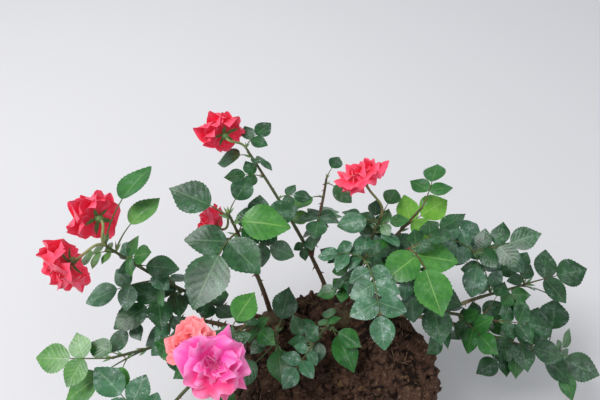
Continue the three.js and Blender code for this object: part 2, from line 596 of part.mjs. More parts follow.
// A knuckle: a low woody knob, cut flat where it meets the soil, or one grown all round.
function knuckleSolid([x, y], grow = 0) {
  const { radius, height, sides } = KNUCKLE;
  const profile = [[0, 0], [1.05, 0], [1.0, 0.3], [0.82, 0.62], [0.5, 0.9], [0, 1]].map(
    ([r, h]) => new THREE.Vector2(r * (radius + grow), h * (height + grow) - (h === 0 ? grow : 0)));
  const geometry = new THREE.LatheGeometry(profile, sides);
  geometry.rotateX(Math.PI / 2);
  geometry.translate(x, y, BALL.height + CLEARANCE);
  return solidFrom(geometry);
}

const soil = new THREE.MeshStandardMaterial({ color: 0x3a2a20, roughness: 1, metalness: 0 });
const bark = new THREE.MeshStandardMaterial({ color: 0x5b5236, roughness: 0.85, metalness: 0 });
const foliage = new THREE.MeshStandardMaterial({ color: 0x2f6b34, roughness: 0.6, metalness: 0 });

const rose = new THREE.Group();
rose.add(meshFrom("root_ball", rootBallSolid(), soil));
for (const [name, place] of Object.entries(KNUCKLES))
  rose.add(meshFrom(name + "_knuckle", knuckleSolid(place), bark));

// A shoot's curve is found after that of the one it branches from.
const curves = new Map();
const byOrder = [...SHOOTS].sort((a, b) => (b.from in KNUCKLES) - (a.from in KNUCKLES));
for (const shoot of byOrder) curves.set(shoot.name, shootCurve(shoot));

// Knuckles, canes, shoots and blooms are all in place before the first leaf.
for (const [name, [x, y]] of Object.entries(KNUCKLES))
  placed.beads.push({ at: vector(x, y, BALL.height + 6), radius: KNUCKLE.radius, owner: name });
for (const shoot of SHOOTS) {
  const curve = curves.get(shoot.name);
  placed.beads.push(...beadsAlong(curve, 0, CANE.footRadius, SHOOT.endRadius, shoot.name));
  for (const bloom of shoot.blooms ?? []) {
    placed.beads.push(...beadsAlong(pedicelCurve(curve, bloom), 0, PEDICEL.radius, PEDICEL.radius,
      shoot.name));
    const radius = bloom.radius * BLOOM.solidShare;
    placed.beads.push({ at: vector(...bloom.at), radius, owner: shoot.name });
  }
}

// The leaves that stand out come first on every shoot, and the others fill in round them.
const leavesOf = new Map(SHOOTS.map((shoot) =>
  [shoot.name, placeShown(shoot, curves.get(shoot.name))]));
for (const shoot of SHOOTS)
  leavesOf.get(shoot.name).push(...growLeaves(shoot, curves.get(shoot.name)));

// A cane, or one grown all round to cut what branches from it.
function caneSolid(shoot, grow = 0) {
  const curve = curves.get(shoot.name);
  const end = shoot.bare - CLEARANCE / curve.getLength();
  return limb(part(curve, 0, end), CANE.footRadius + grow, CANE.endRadius + grow,
    CANE.sides, evenShares(CANE.steps));
}

// The green end of a shoot with its blooms and leaves, all fused.
function shootSolid(shoot) {
  const curve = curves.get(shoot.name);
  const pieces = [limb(part(curve, shoot.bare, 1), SHOOT.footRadius, SHOOT.endRadius,
    SHOOT.sides, evenShares(SHOOT.steps))];
  for (const bloom of shoot.blooms ?? []) {
    pieces.push(limb(pedicelCurve(curve, bloom), PEDICEL.radius, PEDICEL.radius,
      PEDICEL.sides, evenShares(PEDICEL.steps)));
    pieces.push(...bloomSolids(bloom));
  }
  pieces.push(...leavesOf.get(shoot.name).map(leafSolid));
  return fused(pieces);
}

for (const shoot of SHOOTS) {
  const parent = SHOOTS.find((other) => other.name === shoot.from);
  const support = parent ? caneSolid(parent, CLEARANCE)
    : knuckleSolid(KNUCKLES[shoot.from], CLEARANCE);
  rose.add(meshFrom(shoot.name + "_cane", fused([caneSolid(shoot).subtract(support)]), bark));
  rose.add(meshFrom(shoot.name + "_shoot", shootSolid(shoot), foliage));
}

export default rose;
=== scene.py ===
# A patio rose on its bare root ball. Lengths in the growing rule are millimetres, as in the
# part's own source, and the meshes are made in metres. +Z is up and the front is -Y.
import math
from collections import namedtuple
from types import SimpleNamespace as Record

import bpy
import numpy as np
from numpy import cos, pi, sin
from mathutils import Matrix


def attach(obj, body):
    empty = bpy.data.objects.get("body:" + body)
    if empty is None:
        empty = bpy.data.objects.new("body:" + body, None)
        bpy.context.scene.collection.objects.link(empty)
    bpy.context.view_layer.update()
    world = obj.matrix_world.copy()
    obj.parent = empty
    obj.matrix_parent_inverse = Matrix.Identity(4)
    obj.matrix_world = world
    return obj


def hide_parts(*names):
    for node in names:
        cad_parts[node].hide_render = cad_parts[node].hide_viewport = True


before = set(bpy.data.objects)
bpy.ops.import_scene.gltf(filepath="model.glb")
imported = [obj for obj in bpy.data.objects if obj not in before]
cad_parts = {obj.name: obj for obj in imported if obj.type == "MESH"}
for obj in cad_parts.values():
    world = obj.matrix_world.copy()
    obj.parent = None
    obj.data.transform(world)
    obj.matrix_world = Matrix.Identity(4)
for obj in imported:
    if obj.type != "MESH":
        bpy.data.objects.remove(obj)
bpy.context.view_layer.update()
scene = bpy.context.scene

# The camera's place, its tilt from straight down, and its lens on a sensor 36 mm wide.
CAMERA = Record(place=(-0.037, -0.180, 0.660), tilt=36.5, lens=33.6, sensor=36.0)


def add_object(name, data):
    """A new object of the scene that shows that data."""
    made = bpy.data.objects.new(name, data)
    scene.collection.objects.link(made)
    return made


camera = add_object("camera", bpy.data.cameras.new("camera"))
camera.data.lens = CAMERA.lens
camera.data.sensor_width = CAMERA.sensor
camera.location = CAMERA.place
camera.rotation_euler = (math.radians(CAMERA.tilt), 0, 0)
scene.camera = camera

# Sizes of the growing rule, in millimetres unless an angle in degrees is meant, with the rows,
# sides and relief of the meshes that follow it.
CLEARANCE = 0.3
BALL = Record(height=140, top=96, foot=80, bulge=5, rough=3.2)
KNUCKLE = Record(radius=13, height=18, foot_ring=8, foot_share=0.5, bead=6, rows=22, sides=40)
CANE = Record(foot=2.5, end=1.75, rows=30, sides=12, relief=0.07, prickles=7, prickle=3.4)
SHOOT = Record(foot=1.75, end=1.05, handle=0.36, rows=30, sides=9, relief=0.04, prickles=8,
               prickle=2.6)
PEDICEL = Record(foot=1.0, end=1.15, handle=0.45, sink=1, rows=16, sides=8, relief=0.03)
LEAF = Record(petiole=10, pair_step=16, tip_stalk=10, bend=0.42, side_length=25, end_length=31,
              aspect=0.78, side_angle=66, roll=36, fewer_size=0.85, extra_pair=0.2,
              stalk_radius=0.95, stalk_foot=0.12, sink=0.8, most_pairs=3, lift=2, swing=22)
GOLDEN_TURN = 137.5
KEEP = Record(blade=2.6, stalk=1.5, floor=4, soil=4, soil_side=8, sample=8, bead_step=4)
TURNS = (0, 24, -24, 48, -48, 76, -76, 110, -110)
SLOPES = (0, 16, -16, 34)
BLOOM = Record(depth=15, solid_share=0.82, hip=3.4, sepal=13, sepals=5)
KNUCKLES = {"left": (-65, 52), "main": (3, 60), "front": (14, -60)}
UP = np.array([0.0, 0.0, 1.0])
# Where the streams of random numbers of the meshes start.
SEED = Record(knuckles=40, green_stems=50, green_prickles=60, bloom_stalks=80, stipules=90,
              leaves=200, petals=300, sepals=400)

# A shoot has the numbers of its source, and the tints that its leaves take in turn. A bloom has
# its middle, where it faces, its radius and its colour.
Shoot = namedtuple("Shoot", "name source foot tip rise level bare leaves turn fan size pairs seed"
                   " tints blooms bark", defaults=((), "bark"))
Bloom = namedtuple("Bloom", "at bearing pitch radius colour", defaults=("coral",))

SHOOTS = [
    Shoot("upper_left", "main", 150, (-85, 153, 288), 70, 38, 0.42, 0, 215, 0.8, 0.62, 2, 11,
          "deep", [Bloom((-108, 166, 300), 118, -2, 22)]),
    Shoot("left_pair", "left", 165, (-190, 53, 285), 30, 62, 0.36, 2, 230, 0.8, 1.0, 2,
          12, "deep dusty",
          [Bloom((-203, 76, 297), 140, -12, 22), Bloom((-222, 34, 284), 196, -20, 22)]),
    Shoot("centre_left", "left", 100, (-97, 90, 277), 82, 66, 0.66, 0, 240, 0.9, 1.3, 1, 13,
          "deep fresh deep", [Bloom((-122, 98, 248), 165, 8, 20)]),
    Shoot("centre_top", "main", None, (20, 66, 250), 84, 75, 0.4, 0, 130, 1.0, 0.95, 3, 21,
          "mid dusty mid"),
    Shoot("back_centre", "back_right_young", 0.22, (36, 108, 246), 76, 62, 0.44, 0, 330, 0.8,
          0.8, 2, 14, "dusty mid", [Bloom((14, 130, 284), 130, 42, 23)]),
    Shoot("front_left_pair", "left", 255, (-98, -12, 248), 72, 40, 0.42, 0, 250, 0.8, 0.85, 2,
          15, "mid fresh deep",
          [Bloom((-97, -42, 280), 285, 62, 24, "pink"),
           Bloom((-122, -18, 272), 150, 52, 20, "orange")]),
    Shoot("lower_left", "left", 205, (-191, -10, 212), 30, 20, 0.38, 2, 190, 0.75, 0.9, 2,
          16, "deep mid"),
    Shoot("front_left", "front_left_pair", 0.2, (-168, -78, 202), 58, 8, 0.38, 4, 230, 0.7,
          1.15, 2, 17, "mid deep dusty mid"),
    Shoot("left_inner", "lower_left", 0.22, (-172, 30, 204), 48, 10, 0.36, 3, 120, 0.75, 0.85,
          2, 18, "deep dusty"),
    Shoot("back_twig", "upper_left", 0.37, (-12, 152, 246), 40, 66, 0.3, 1, 60, 0.75, 0.62, 1,
          19, "deep mid"),
    Shoot("back_right_young", "main", 90, (72, 112, 254), 72, 45, 0.42, 0, 300, 0.75, 0.7, 2,
          20, "mid"),
    Shoot("centre_right", "right_back", 0.13, (58, 76, 242), 66, 28, 0.36, 0, 300, 0.8, 1.25,
          2, 22, "dusty mid"),
    Shoot("right_back", "main", 30, (140, 98, 210), 60, 12, 0.36, 6, 150, 0.75, 1.15, 2, 23,
          "dusty deep dusty"),
    Shoot("right_far", "right_low", 0.36, (188, 86, 158), 34, -6, 0.4, 2, 40, 0.75, 1.05, 2,
          24, "dusty deep", bark="pale_bark"),
    Shoot("right_middle", "right_low", 0.24, (150, 44, 164), 50, -4, 0.36, 1, 40, 0.7, 1.0, 2,
          29, "deep mid", bark="pale_bark"),
    Shoot("right_low", "main", -30, (236, 38, 84), 30, -24, 0.46, 2, 330, 0.65, 1.0, 2, 25,
          "deep dusty mid", bark="pale_bark"),
    Shoot("soil_cover", "main", -110, (-26, 12, 184), 40, 0, 0.3, 1, 240, 0.7, 0.85, 2, 26,
          "dusty mid dusty"),
    Shoot("soil_edge", "left", 310, (-57, 14, 178), 50, 0, 0.4, 0, 250, 0.6, 0.6, 1, 30,
          "mid fresh"),
    Shoot("front_right", "front", -30, (126, -118, 190), 56, 6, 0.4, 6, 300, 0.5, 1.1, 2, 27,
          "dusty mid deep"),
    Shoot("front_middle", "front", -90, (30, -158, 210), 66, 14, 0.38, 6, 200, 0.55, 1.1, 2,
          28, "mid deep fresh", [Bloom((30, -184, 232), 262, 30, 21)]),
    Shoot("front_side", "front", 210, (-78, -132, 204), 58, 10, 0.4, 6, 170, 0.55, 1.1, 2, 31,
          "deep mid dusty"),
]

# The leaves that stand out are placed one by one. Each is the share of its shoot at which it
# grows, its bearing, its slope, the lengths of its stalk and of its end leaflet, its number of
# leaflet pairs and its tint.
SHOWN = {
    "upper_left": [
        (1.0, 45, 5, 16, 19, 1, "deep"), (0.95, 170, -20, 12, 26, 0, "deep"),
        (0.84, 185, 0, 18, 20, 1, "deep"), (0.72, 350, 5, 16, 18, 1, "deep")],
    "left_pair": [
        (1.0, 66, 12, 40, 38, 0, "mid"), (0.94, 55, 14, 26, 32, 0, "light"),
        (0.8, 355, 0, 8, 26, 0, "deep"), (0.64, 200, -5, 40, 30, 1, "dusty"),
        (0.74, 320, 5, 10, 20, 0, "dusty")],
    "centre_left": [
        (0.84, 250, 0, 34, 46, 1, "deep"), (0.92, 355, 0, 8, 42, 0, "fresh"),
        (0.96, 160, 22, 20, 40, 0, "deep"), (0.99, 75, 12, 14, 26, 0, "deep"),
        (0.74, 345, -12, 28, 24, 1, "deep"), (0.69, 190, 0, 22, 22, 1, "dusty")],
    "centre_top": [
        (0.93, 275, -15, 64, 31, 3, "dusty"), (0.84, 75, 10, 6, 29, 0, "dusty"),
        (0.78, 145, -20, 30, 18, 1, "deep")],
    "back_centre": [
        (1.0, 60, 5, 14, 22, 0, "mid"), (0.85, 150, -5, 20, 20, 0, "deep"),
        (0.93, 195, 10, 14, 28, 0, "dusty"), (0.8, 320, 0, 8, 23, 0, "dusty")],
    "front_left_pair": [
        (0.92, 60, 15, 16, 30, 0, "fresh")],
    "lower_left": [
        (1.0, 180, 3, 34, 29, 1, "light"), (0.95, 160, 5, 10, 24, 0, "mid"),
        (0.9, 255, -12, 14, 24, 0, "fresh"), (0.8, 212, -6, 46, 36, 0, "light")],
    "left_inner": [
        (1.0, 230, -8, 20, 22, 1, "deep"), (0.72, 145, 0, 10, 19, 0, "deep"),
        (0.62, 235, -5, 16, 30, 0, "dusty")],
    "back_twig": [
        (1.0, 60, 5, 12, 18, 0, "deep"), (0.93, 320, -5, 10, 22, 0, "deep"),
        (0.74, 205, 6, 12, 28, 0, "fresh"), (0.52, 205, 0, 12, 19, 0, "light")],
    "back_right_young": [
        (0.78, 35, 5, 26, 34, 1, "young"), (1.0, 70, 5, 28, 27, 1, "mid")],
    "centre_right": [
        (1.0, 285, -5, 26, 44, 1, "fresh"), (0.9, 265, -25, 30, 20, 0, "dusty"),
        (0.8, 275, -25, 40, 26, 0, "deep")],
    "right_back": [
        (1.0, 340, -14, 8, 44, 0, "dusty"), (0.62, 38, 6, 52, 32, 2, "dusty"),
        (0.91, 255, -20, 18, 30, 0, "dusty"), (0.81, 290, -20, 14, 28, 0, "mid")],
    "right_far": [
        (1.0, 14, 0, 36, 38, 1, "deep"), (0.85, 280, -25, 8, 22, 0, "deep")],
    "right_middle": [
        (0.81, 55, 0, 30, 18, 0, "deep"), (0.72, 265, -20, 8, 26, 0, "deep")],
    "right_low": [
        (0.85, 65, 15, 10, 40, 0, "deep"), (0.92, 70, 10, 32, 38, 0, "deep"),
        (0.76, 130, 15, 12, 26, 0, "mid"), (0.81, 215, -10, 5, 26, 0, "deep"),
        (0.9, 315, -5, 6, 36, 0, "deep"), (1.0, 335, 0, 6, 42, 0, "deep"),
        (0.95, 290, -15, 20, 31, 0, "mid")],
    "soil_cover": [
        (0.34, 300, 2, 14, 34, 0, "mid"), (0.42, 330, 5, 12, 26, 0, "mid"),
        (0.6, 165, 5, 8, 21, 0, "deep"), (0.76, 240, 0, 8, 20, 0, "deep")],
    "soil_edge": [
        (1.0, 278, 4, 4, 30, 0, "mid"), (0.86, 230, 4, 30, 28, 0, "deep"),
        (0.6, 75, 20, 14, 29, 0, "deep"), (0.48, 220, 5, 16, 19, 0, "deep")],
}
# The changes of bearing and of slope at which such a leaf is tried, in turn.
SHOWN_TURNS = (0, 7, -7, 14, -14, 22, -22)
SHOWN_SLOPES = (0, 8, -8, 16)


def unit(v):
    """Each vector divided by its length."""
    v = np.asarray(v, float)
    return v / np.linalg.norm(v, axis=-1, keepdims=True)


def heading(bearing, pitch=0.0):
    """The direction with that bearing from +X towards +Y and that pitch above level."""
    b, p = math.radians(bearing), math.radians(pitch)
    return np.array([math.cos(b) * math.cos(p), math.sin(b) * math.cos(p), math.sin(p)])


def bearing_of(direction):
    """The bearing of a direction, in degrees from +X towards +Y."""
    return math.degrees(math.atan2(direction[1], direction[0]))


def turned(v, axis, angle):
    """A vector turned about a unit axis: v cos a + (axis x v) sin a + axis (axis.v)(1 - cos a)."""
    c, s = math.cos(angle), math.sin(angle)
    return v * c + np.cross(axis, v) * s + axis * np.dot(axis, v) * (1 - c)


def numbers_from(seed):
    """A repeatable stream of numbers from 0 to 1, the same as in the part's source."""
    state, mask = seed, 0xFFFFFFFF

    def following():
        nonlocal state
        state = (state + 0x6D2B79F5) & mask
        t = ((state ^ (state >> 15)) * (state | 1)) & mask
        t = ((t + (((t ^ (t >> 7)) * (t | 61)) & mask)) & mask) ^ t
        return ((t ^ (t >> 14)) & mask) / 4294967296

    return following


def bezier(control, t):
    """Points of a Bezier curve: the sum over k of C(n, k) (1 - t)^(n - k) t^k control[k]."""
    t = np.asarray(t, float)[..., None]
    n = len(control) - 1
    return sum(math.comb(n, k) * (1 - t) ** (n - k) * t ** k * control[k] for k in range(n + 1))


def tangent(control, t, step=1e-4):
    """Directions along a Bezier curve, from two points a small step before and after."""
    t = np.asarray(t, float)
    return unit(bezier(control, np.minimum(t + step, 1)) - bezier(control, np.maximum(t - step, 0)))


def shoot_curve(s):
    """The cubic curve of a shoot, which rises from its foot and levels out towards its tip."""
    if s.source in KNUCKLES:
        middle = BALL.height + KNUCKLE.height * KNUCKLE.foot_share
        foot = np.array([*KNUCKLES[s.source], middle])
        if s.foot is not None:
            foot = foot + heading(s.foot) * KNUCKLE.foot_ring
    else:
        foot = bezier(curves[s.source], s.foot)
    bearing = bearing_of(s.tip - foot)
    handle = np.linalg.norm(s.tip - foot) * SHOOT.handle
    return np.array([foot, foot + heading(bearing, s.rise) * handle,
                     s.tip - heading(bearing, s.level) * handle, s.tip])


def bloom_axes(b):
    """Where a bloom's petals begin, where it faces, and two directions across that."""
    axis = heading(b.bearing, b.pitch)
    first = unit(np.cross(UP, axis))
    return b.at - axis * BLOOM.depth, axis, first, np.cross(axis, first)


def pedicel_curve(curve, b):
    """The cubic curve of a bloom's stalk, from its shoot's tip to the hip under the petals."""
    tip, onward = curve[-1], tangent(curve, 1.0)
    base, axis = bloom_axes(b)[:2]
    handle = np.linalg.norm(base - tip) * PEDICEL.handle
    return np.array([tip - onward * PEDICEL.sink, tip + onward * handle,
                     base - axis * handle, base + axis * PEDICEL.sink])


def half_width(s):
    """Half the width of a leaflet at share s of its length, as a share of its length."""
    wave = sin(pi * np.maximum(s, 0) ** 0.82)
    return 0.5 * LEAF.aspect * np.maximum(wave, 0) ** 0.75


def varied(random):
    """A share near 1, by which sizes vary."""
    return 0.92 + 0.16 * random()


def stalk_length(size, pairs):
    """The usual length of the stalk of a leaf of that size."""
    return (LEAF.petiole + LEAF.pair_step * (pairs - 1) + LEAF.tip_stalk) * size


BLADE_KEYS = ("root", "direction", "normal", "across", "span")


def compound_leaf(node, along, bearing, lift, size, length, pairs, random, roll):
    """A compound leaf: a stalk bent level, pairs of leaflets along it and one at its end."""
    start = unit(0.55 * along + 0.85 * heading(bearing) + 0.15 * UP)
    end = heading(bearing, lift)
    bend = node + start * length * LEAF.bend
    stalk = np.array([node - start * LEAF.sink, bend, bend + end * length * (1 - LEAF.bend)])
    normal = turned(unit(UP - end * end[2]), end, math.radians((random() - 0.5) * roll))
    side = np.cross(normal, end)
    rows = []

    def add(root, direction, span):
        face = turned(unit(normal - direction * np.dot(normal, direction)), direction,
                      (random() - 0.5) * 0.3)
        rows.append((root, direction, face, np.cross(face, direction), span))

    angle = math.radians(LEAF.side_angle)
    for pair in range(pairs):
        from_end = LEAF.tip_stalk + LEAF.pair_step * (pairs - 1 - pair)
        root = bezier(stalk, 1 - from_end * size / length)
        span = LEAF.side_length * size * (0.88 + 0.2 * pair / (pairs - 1) if pairs > 1 else 1)
        for hand in (1, -1):
            direction = unit(end * math.cos(angle) + side * hand * math.sin(angle)
                             + normal * 0.16 * (random() - 0.3))
            add(root, direction, span * varied(random))
    add(bezier(stalk, 1.0), unit(end - normal * 0.12), LEAF.end_length * size * varied(random))
    columns = [np.array(column) for column in zip(*rows)]
    return Record(stalk=stalk, side=side, size=size, blades=dict(zip(BLADE_KEYS, columns)))


def samples_of(blades):
    """Points on each leaflet's outline and midrib: root + direction s span + across w span."""
    s = np.linspace(0, 1, KEEP.sample + 1)
    w = np.stack([-half_width(s), 0 * s, half_width(s)], axis=-1)
    span = blades["span"][:, None, None, None]
    root, direction, _, across, _ = (blades[key][:, None, None] for key in BLADE_KEYS)
    points = root + direction * s[:, None, None] * span + across * w[..., None] * span
    return points.reshape(len(span), -1, 3)


def meets(points, radius, blades, gap):
    """Whether the ball at each point comes within the gap of each blade of a table of blades."""
    offset = points[:, None] - blades["root"][None]
    reach = np.broadcast_to(np.asarray(radius, float) + gap, points.shape[:1])[:, None]
    high, s, side = (np.einsum("pbk,bk->pb", offset, blades[key])
                     for key in ("normal", "direction", "across"))
    share = np.clip(s / blades["span"], 0, 1)
    return ((np.abs(high) <= reach) & (s >= -reach) & (s <= blades["span"] + reach)
            & (np.abs(side) < half_width(share) * blades["span"] + reach))


def distances(points, others):
    """The distance of each point from each of the others."""
    return np.linalg.norm(points[:, None] - others[None], axis=-1)


# What a later leaf has to stay clear of: the leaflets placed so far, and balls along the stems.
placed = {key: np.zeros((0, 3)) for key in BLADE_KEYS}
placed.update(span=np.zeros(0), samples=np.zeros((0, 3 * (KEEP.sample + 1), 3)))
beads = Record(at=np.zeros((0, 3)), radius=np.zeros(0), owner=np.zeros(0, "U40"))


def add_beads(at, radius, owner):
    """Adds balls that a later leaf has to stay clear of."""
    at = np.atleast_2d(at)
    beads.at = np.vstack([beads.at, at])
    beads.radius = np.append(beads.radius, np.broadcast_to(radius, len(at)))
    beads.owner = np.append(beads.owner, np.full(len(at), owner, "U40"))


def beads_along(curve, start, r0, r1):
    """Balls a few millimetres apart along a curve from a share of it to its end."""
    reach = np.linalg.norm(bezier(curve, 1.0) - bezier(curve, start))
    share = np.linspace(0, 1, max(2, math.ceil(reach / KEEP.bead_step) + 1))
    return bezier(curve, start + (1 - start) * share), r0 + (r1 - r0) * share


def in_soil(points):
    """Whether any point is near the floor or near the root ball."""
    near = np.hypot(points[..., 0], points[..., 1]) < BALL.top + KEEP.soil_side
    height = points[..., 2]
    return ((height < KEEP.floor) | (near & (height < BALL.height + KEEP.soil))).any()


def cut(blades, rows):
    """Those rows of a table of blades."""
    return {key: column[rows] for key, column in blades.items()}


def place_leaf(leaf, owner, ease):
    """Adds a leaf if its stalk and leaflets are clear by the wanted gaps, times ease."""
    at, radius = beads_along(leaf.stalk, LEAF.stalk_foot, LEAF.stalk_radius, LEAF.stalk_radius)
    stalk_gap, blade_gap = KEEP.stalk * ease, KEEP.blade * ease
    other = beads.owner != owner
    least = beads.radius[other] + radius[:, None] + stalk_gap
    if in_soil(at) or (distances(at, beads.at[other]) < least).any():
        return False
    if meets(at, radius, placed, stalk_gap).any():
        return False
    blades = {**leaf.blades, "samples": samples_of(leaf.blades)}
    if in_soil(blades["samples"]):
        return False
    for i, points in enumerate(blades["samples"]):
        own = cut(blades, slice(i, i + 1))
        apart = np.linalg.norm(placed["root"] - own["root"], axis=-1)
        close = cut(placed, apart < placed["span"] + own["span"])
        if (meets(points, 0, close, blade_gap).any()
                or meets(close["samples"].reshape(-1, 3), 0, own, blade_gap).any()):
            return False
        apart = np.linalg.norm(beads.at - own["root"], axis=-1)
        near = apart < own["span"] + 2 * beads.radius
        at_near, r_near = beads.at[near], beads.radius[near]
        if ((distances(points, at_near) < r_near + ease).any()
                or meets(at_near, np.minimum(r_near, CANE.foot), own, stalk_gap).any()):
            return False
    for key, column in blades.items():
        placed[key] = np.concatenate([placed[key], column])
    add_beads(at, radius, owner + "_leaf")
    return True


def tint_of(s, i):
    """The tint of a shoot's leaf number i."""
    tints = s.tints.split()
    return tints[i % len(tints)]


def add_leaf(s, t, tint, trials, seed, ease=1.0, roll=LEAF.roll):
    """Adds the first leaf that is clear of all at share t of a shoot, from trials in turn.

    A trial is a bearing, a lift, a size, the stalk's length and the number of pairs."""
    node, along = bezier(curves[s.name], t), tangent(curves[s.name], t)
    for bearing, lift, size, length, pairs in trials:
        leaf = compound_leaf(node, along, bearing, lift, size, length, pairs,
                             numbers_from(seed), roll)
        if place_leaf(leaf, s.name, ease):
            leaf.t, leaf.bearing, leaf.tint = t, bearing, tint
            leaves_of[s.name].append(leaf)
            return


def place_shown(s):
    """The leaves of a shoot that stand out, each where its list says or as near as is clear."""
    for i, (t, bearing, lift, length, blade, pairs, tint) in enumerate(SHOWN.get(s.name, ())):
        trials = [(bearing + turn, lift + slope, blade / LEAF.end_length, length, pairs)
                  for turn in SHOWN_TURNS for slope in SHOWN_SLOPES]
        add_leaf(s, t, tint, trials, s.seed * 100 + i)


def grow_leaves(s):
    """The other leaves of a shoot, from its lowest to its tip, each where it is clear of all."""
    random = numbers_from(s.seed)
    ahead = bearing_of(curves[s.name][-1] - curves[s.name][0])
    for i in range(s.leaves):
        share = (i + 0.5) / (s.leaves + 0.3) if s.blooms else (i + 0.6) / (s.leaves - 0.4)
        end_leaf = not s.blooms and i == s.leaves - 1
        bearing = ahead if end_leaf else s.turn + GOLDEN_TURN * i
        size = s.size * (1.12 - 0.26 * share) * varied(random)
        lift = LEAF.lift + LEAF.swing * (random() - 0.5)
        most = min(LEAF.most_pairs, s.pairs + (random() < LEAF.extra_pair))
        seed = math.floor(random() * 1e6)
        trials = []
        for pairs in (most, most - 1) if most > 1 else (most,):
            grown = size * (LEAF.fewer_size if pairs < most else 1)
            trials += [(ahead + s.fan * ((bearing + turn - ahead + 540) % 360 - 180), lift + slope,
                        grown, stalk_length(grown, pairs), pairs)
                       for turn in TURNS for slope in SLOPES]
        add_leaf(s, s.bare + (1 - s.bare) * share, tint_of(s, i), trials, seed)


# Finer twigs: small leaves in the axils of the leaves and between them, by the same rule with
# smaller gaps. start, past the bare part, stop and step are shares of a shoot, for those between.
SPRIG = Record(size=0.62, least=0.75, spread=0.6, ease=0.3, turn=80, lift=6, swing=70, roll=120,
               seed=700, start=0.04, stop=0.99, step=0.16, aside=60, turns=(0, 25, -25, 50, -50),
               slopes=(0, -24))
# The tints of the small leaves in turn, with None for the tint of the leaf beside it. Most are deep
# or mid, a painted shade that darkens the small leaves inside the plant.
SHADED_SPRIG_TINTS = ("deep", None, "deep", "mid", "deep", None, "mid")
# The step on the shoots that are leafier than the others.
DENSE = {"right_back": 0.05, "right_far": 0.05, "right_middle": 0.05, "right_low": 0.06,
         "centre_top": 0.06, "centre_right": 0.05, "back_centre": 0.08, "front_right": 0.07,
         "front_middle": 0.07, "front_side": 0.07, "back_twig": 0.07}
# Where the small leaves between the others begin and end, and their size, on the twig that
# carries them lower down and on the young shoot, which has none.
SPRIG_SPAN = {"back_twig": (0.28, 0.72, 1.15), "back_right_young": (0.5, 0.5, 0.7)}


def grow_sprigs(s):
    """Small leaves of a shoot: one or two beside the foot of each leaf, and others along it."""
    random = numbers_from(SPRIG.seed + s.seed)
    hands = (1, -1) if s.name in DENSE else (1,)
    feet = [(leaf.t, leaf.bearing + hand * SPRIG.turn, leaf.tint)
            for leaf in leaves_of[s.name] for hand in hands]
    usual = (s.bare + SPRIG.start, SPRIG.stop, s.size)
    low, high, full_size = SPRIG_SPAN.get(s.name, usual)
    between = np.arange(low, high, DENSE.get(s.name, SPRIG.step))
    feet += [(t, s.turn + SPRIG.aside + GOLDEN_TURN * i, tint_of(s, i))
             for i, t in enumerate(between)]
    for i, (t, aim, tint) in enumerate(feet):
        size = full_size * SPRIG.size * (SPRIG.least + SPRIG.spread * random())
        lift = SPRIG.lift + SPRIG.swing * (random() - 0.5)
        pairs = 1 if random() < 0.5 else 2
        seed = math.floor(random() * 1e6)
        trials = [(aim + turn, lift + slope, size, stalk_length(size, pairs), pairs)
                  for turn in SPRIG.turns for slope in SPRIG.slopes]
        # The small leaves mostly take darker tints, as painted shade inside the plant.
        add_leaf(s, t, SHADED_SPRIG_TINTS[i % len(SHADED_SPRIG_TINTS)] or tint, trials, seed, SPRIG.ease,
                 SPRIG.roll)


curves = {}
for s in sorted(SHOOTS, key=lambda s: s.source not in KNUCKLES):
    curves[s.name] = shoot_curve(s)
for name, (x, y) in KNUCKLES.items():
    add_beads([x, y, BALL.height + KNUCKLE.bead], KNUCKLE.radius, name)
for s in SHOOTS:
    add_beads(*beads_along(curves[s.name], 0, CANE.foot, SHOOT.end), s.name)
    for b in s.blooms:
        stalk = pedicel_curve(curves[s.name], b)
        add_beads(*beads_along(stalk, 0, PEDICEL.foot, PEDICEL.foot), s.name)
        add_beads(b.at, b.radius * BLOOM.solid_share, s.name)
leaves_of = {s.name: [] for s in SHOOTS}
for grow in (place_shown, grow_leaves, grow_sprigs):
    for s in SHOOTS:
        grow(s)


# Meshes, and the materials that the pieces take by name.
MM = 0.001
materials = {}
Skin = namedtuple("Skin", "points quads tris uv")


def stack(*grids):
    """The grids, broadcast to one shape, side by side along a new last axis."""
    return np.stack(np.broadcast_arrays(*grids), axis=-1)


def angles(count):
    """Angles that go evenly round from 0, in radians."""
    return np.arange(count) * 2 * pi / count


def draws(seed, *shape):
    """A function that draws numbers of that shape between two limits, in a repeatable order."""
    random = np.random.default_rng(seed)
    return lambda low, high, *other: random.uniform(low, high, other or shape)


def square_to(along, side):
    """Unit directions square to along, on the side of side."""
    return unit(side - along * np.sum(side * along, axis=-1, keepdims=True))


def sheets(points, uv, around=False):
    """One skin from many grids of points, of shape (copies, rows, columns, 3)."""
    copies, rows, columns = points.shape[:3]
    i, j = np.meshgrid(np.arange(rows - 1), np.arange(columns if around else columns - 1),
                       indexing="ij")
    k = (j + 1) % columns
    corners = stack(i * columns + j, (i + 1) * columns + j, (i + 1) * columns + k, i * columns + k)
    first = np.arange(copies)[:, None, None, None] * rows * columns
    uv = np.broadcast_to(uv, points.shape[:3] + (2,)).reshape(-1, 2)
    return Skin(points.reshape(-1, 3), (first + corners).reshape(-1, 4), np.zeros((0, 3), int), uv)


def closed_round(rings, first_pole, last_pole, uv):
    """Skins closed at both ends: rings of points (copies, rows, sides, 3) and a pole each end."""
    copies, rows, sides = rings.shape[:3]
    body = sheets(rings, uv, around=True)
    j = np.arange(sides)
    k = (j + 1) % sides
    base = np.arange(copies)[:, None]
    start = base * rows * sides
    low = copies * rows * sides + base
    last = start + (rows - 1) * sides
    caps = [stack(low, start + j, start + k), stack(low + copies, last + k, last + j)]
    return Skin(np.concatenate([body.points, first_pole.reshape(-1, 3), last_pole.reshape(-1, 3)]),
                body.quads, np.concatenate(caps, axis=1).reshape(-1, 3),
                np.concatenate([body.uv, np.full((2 * copies, 2), 0.5)]))


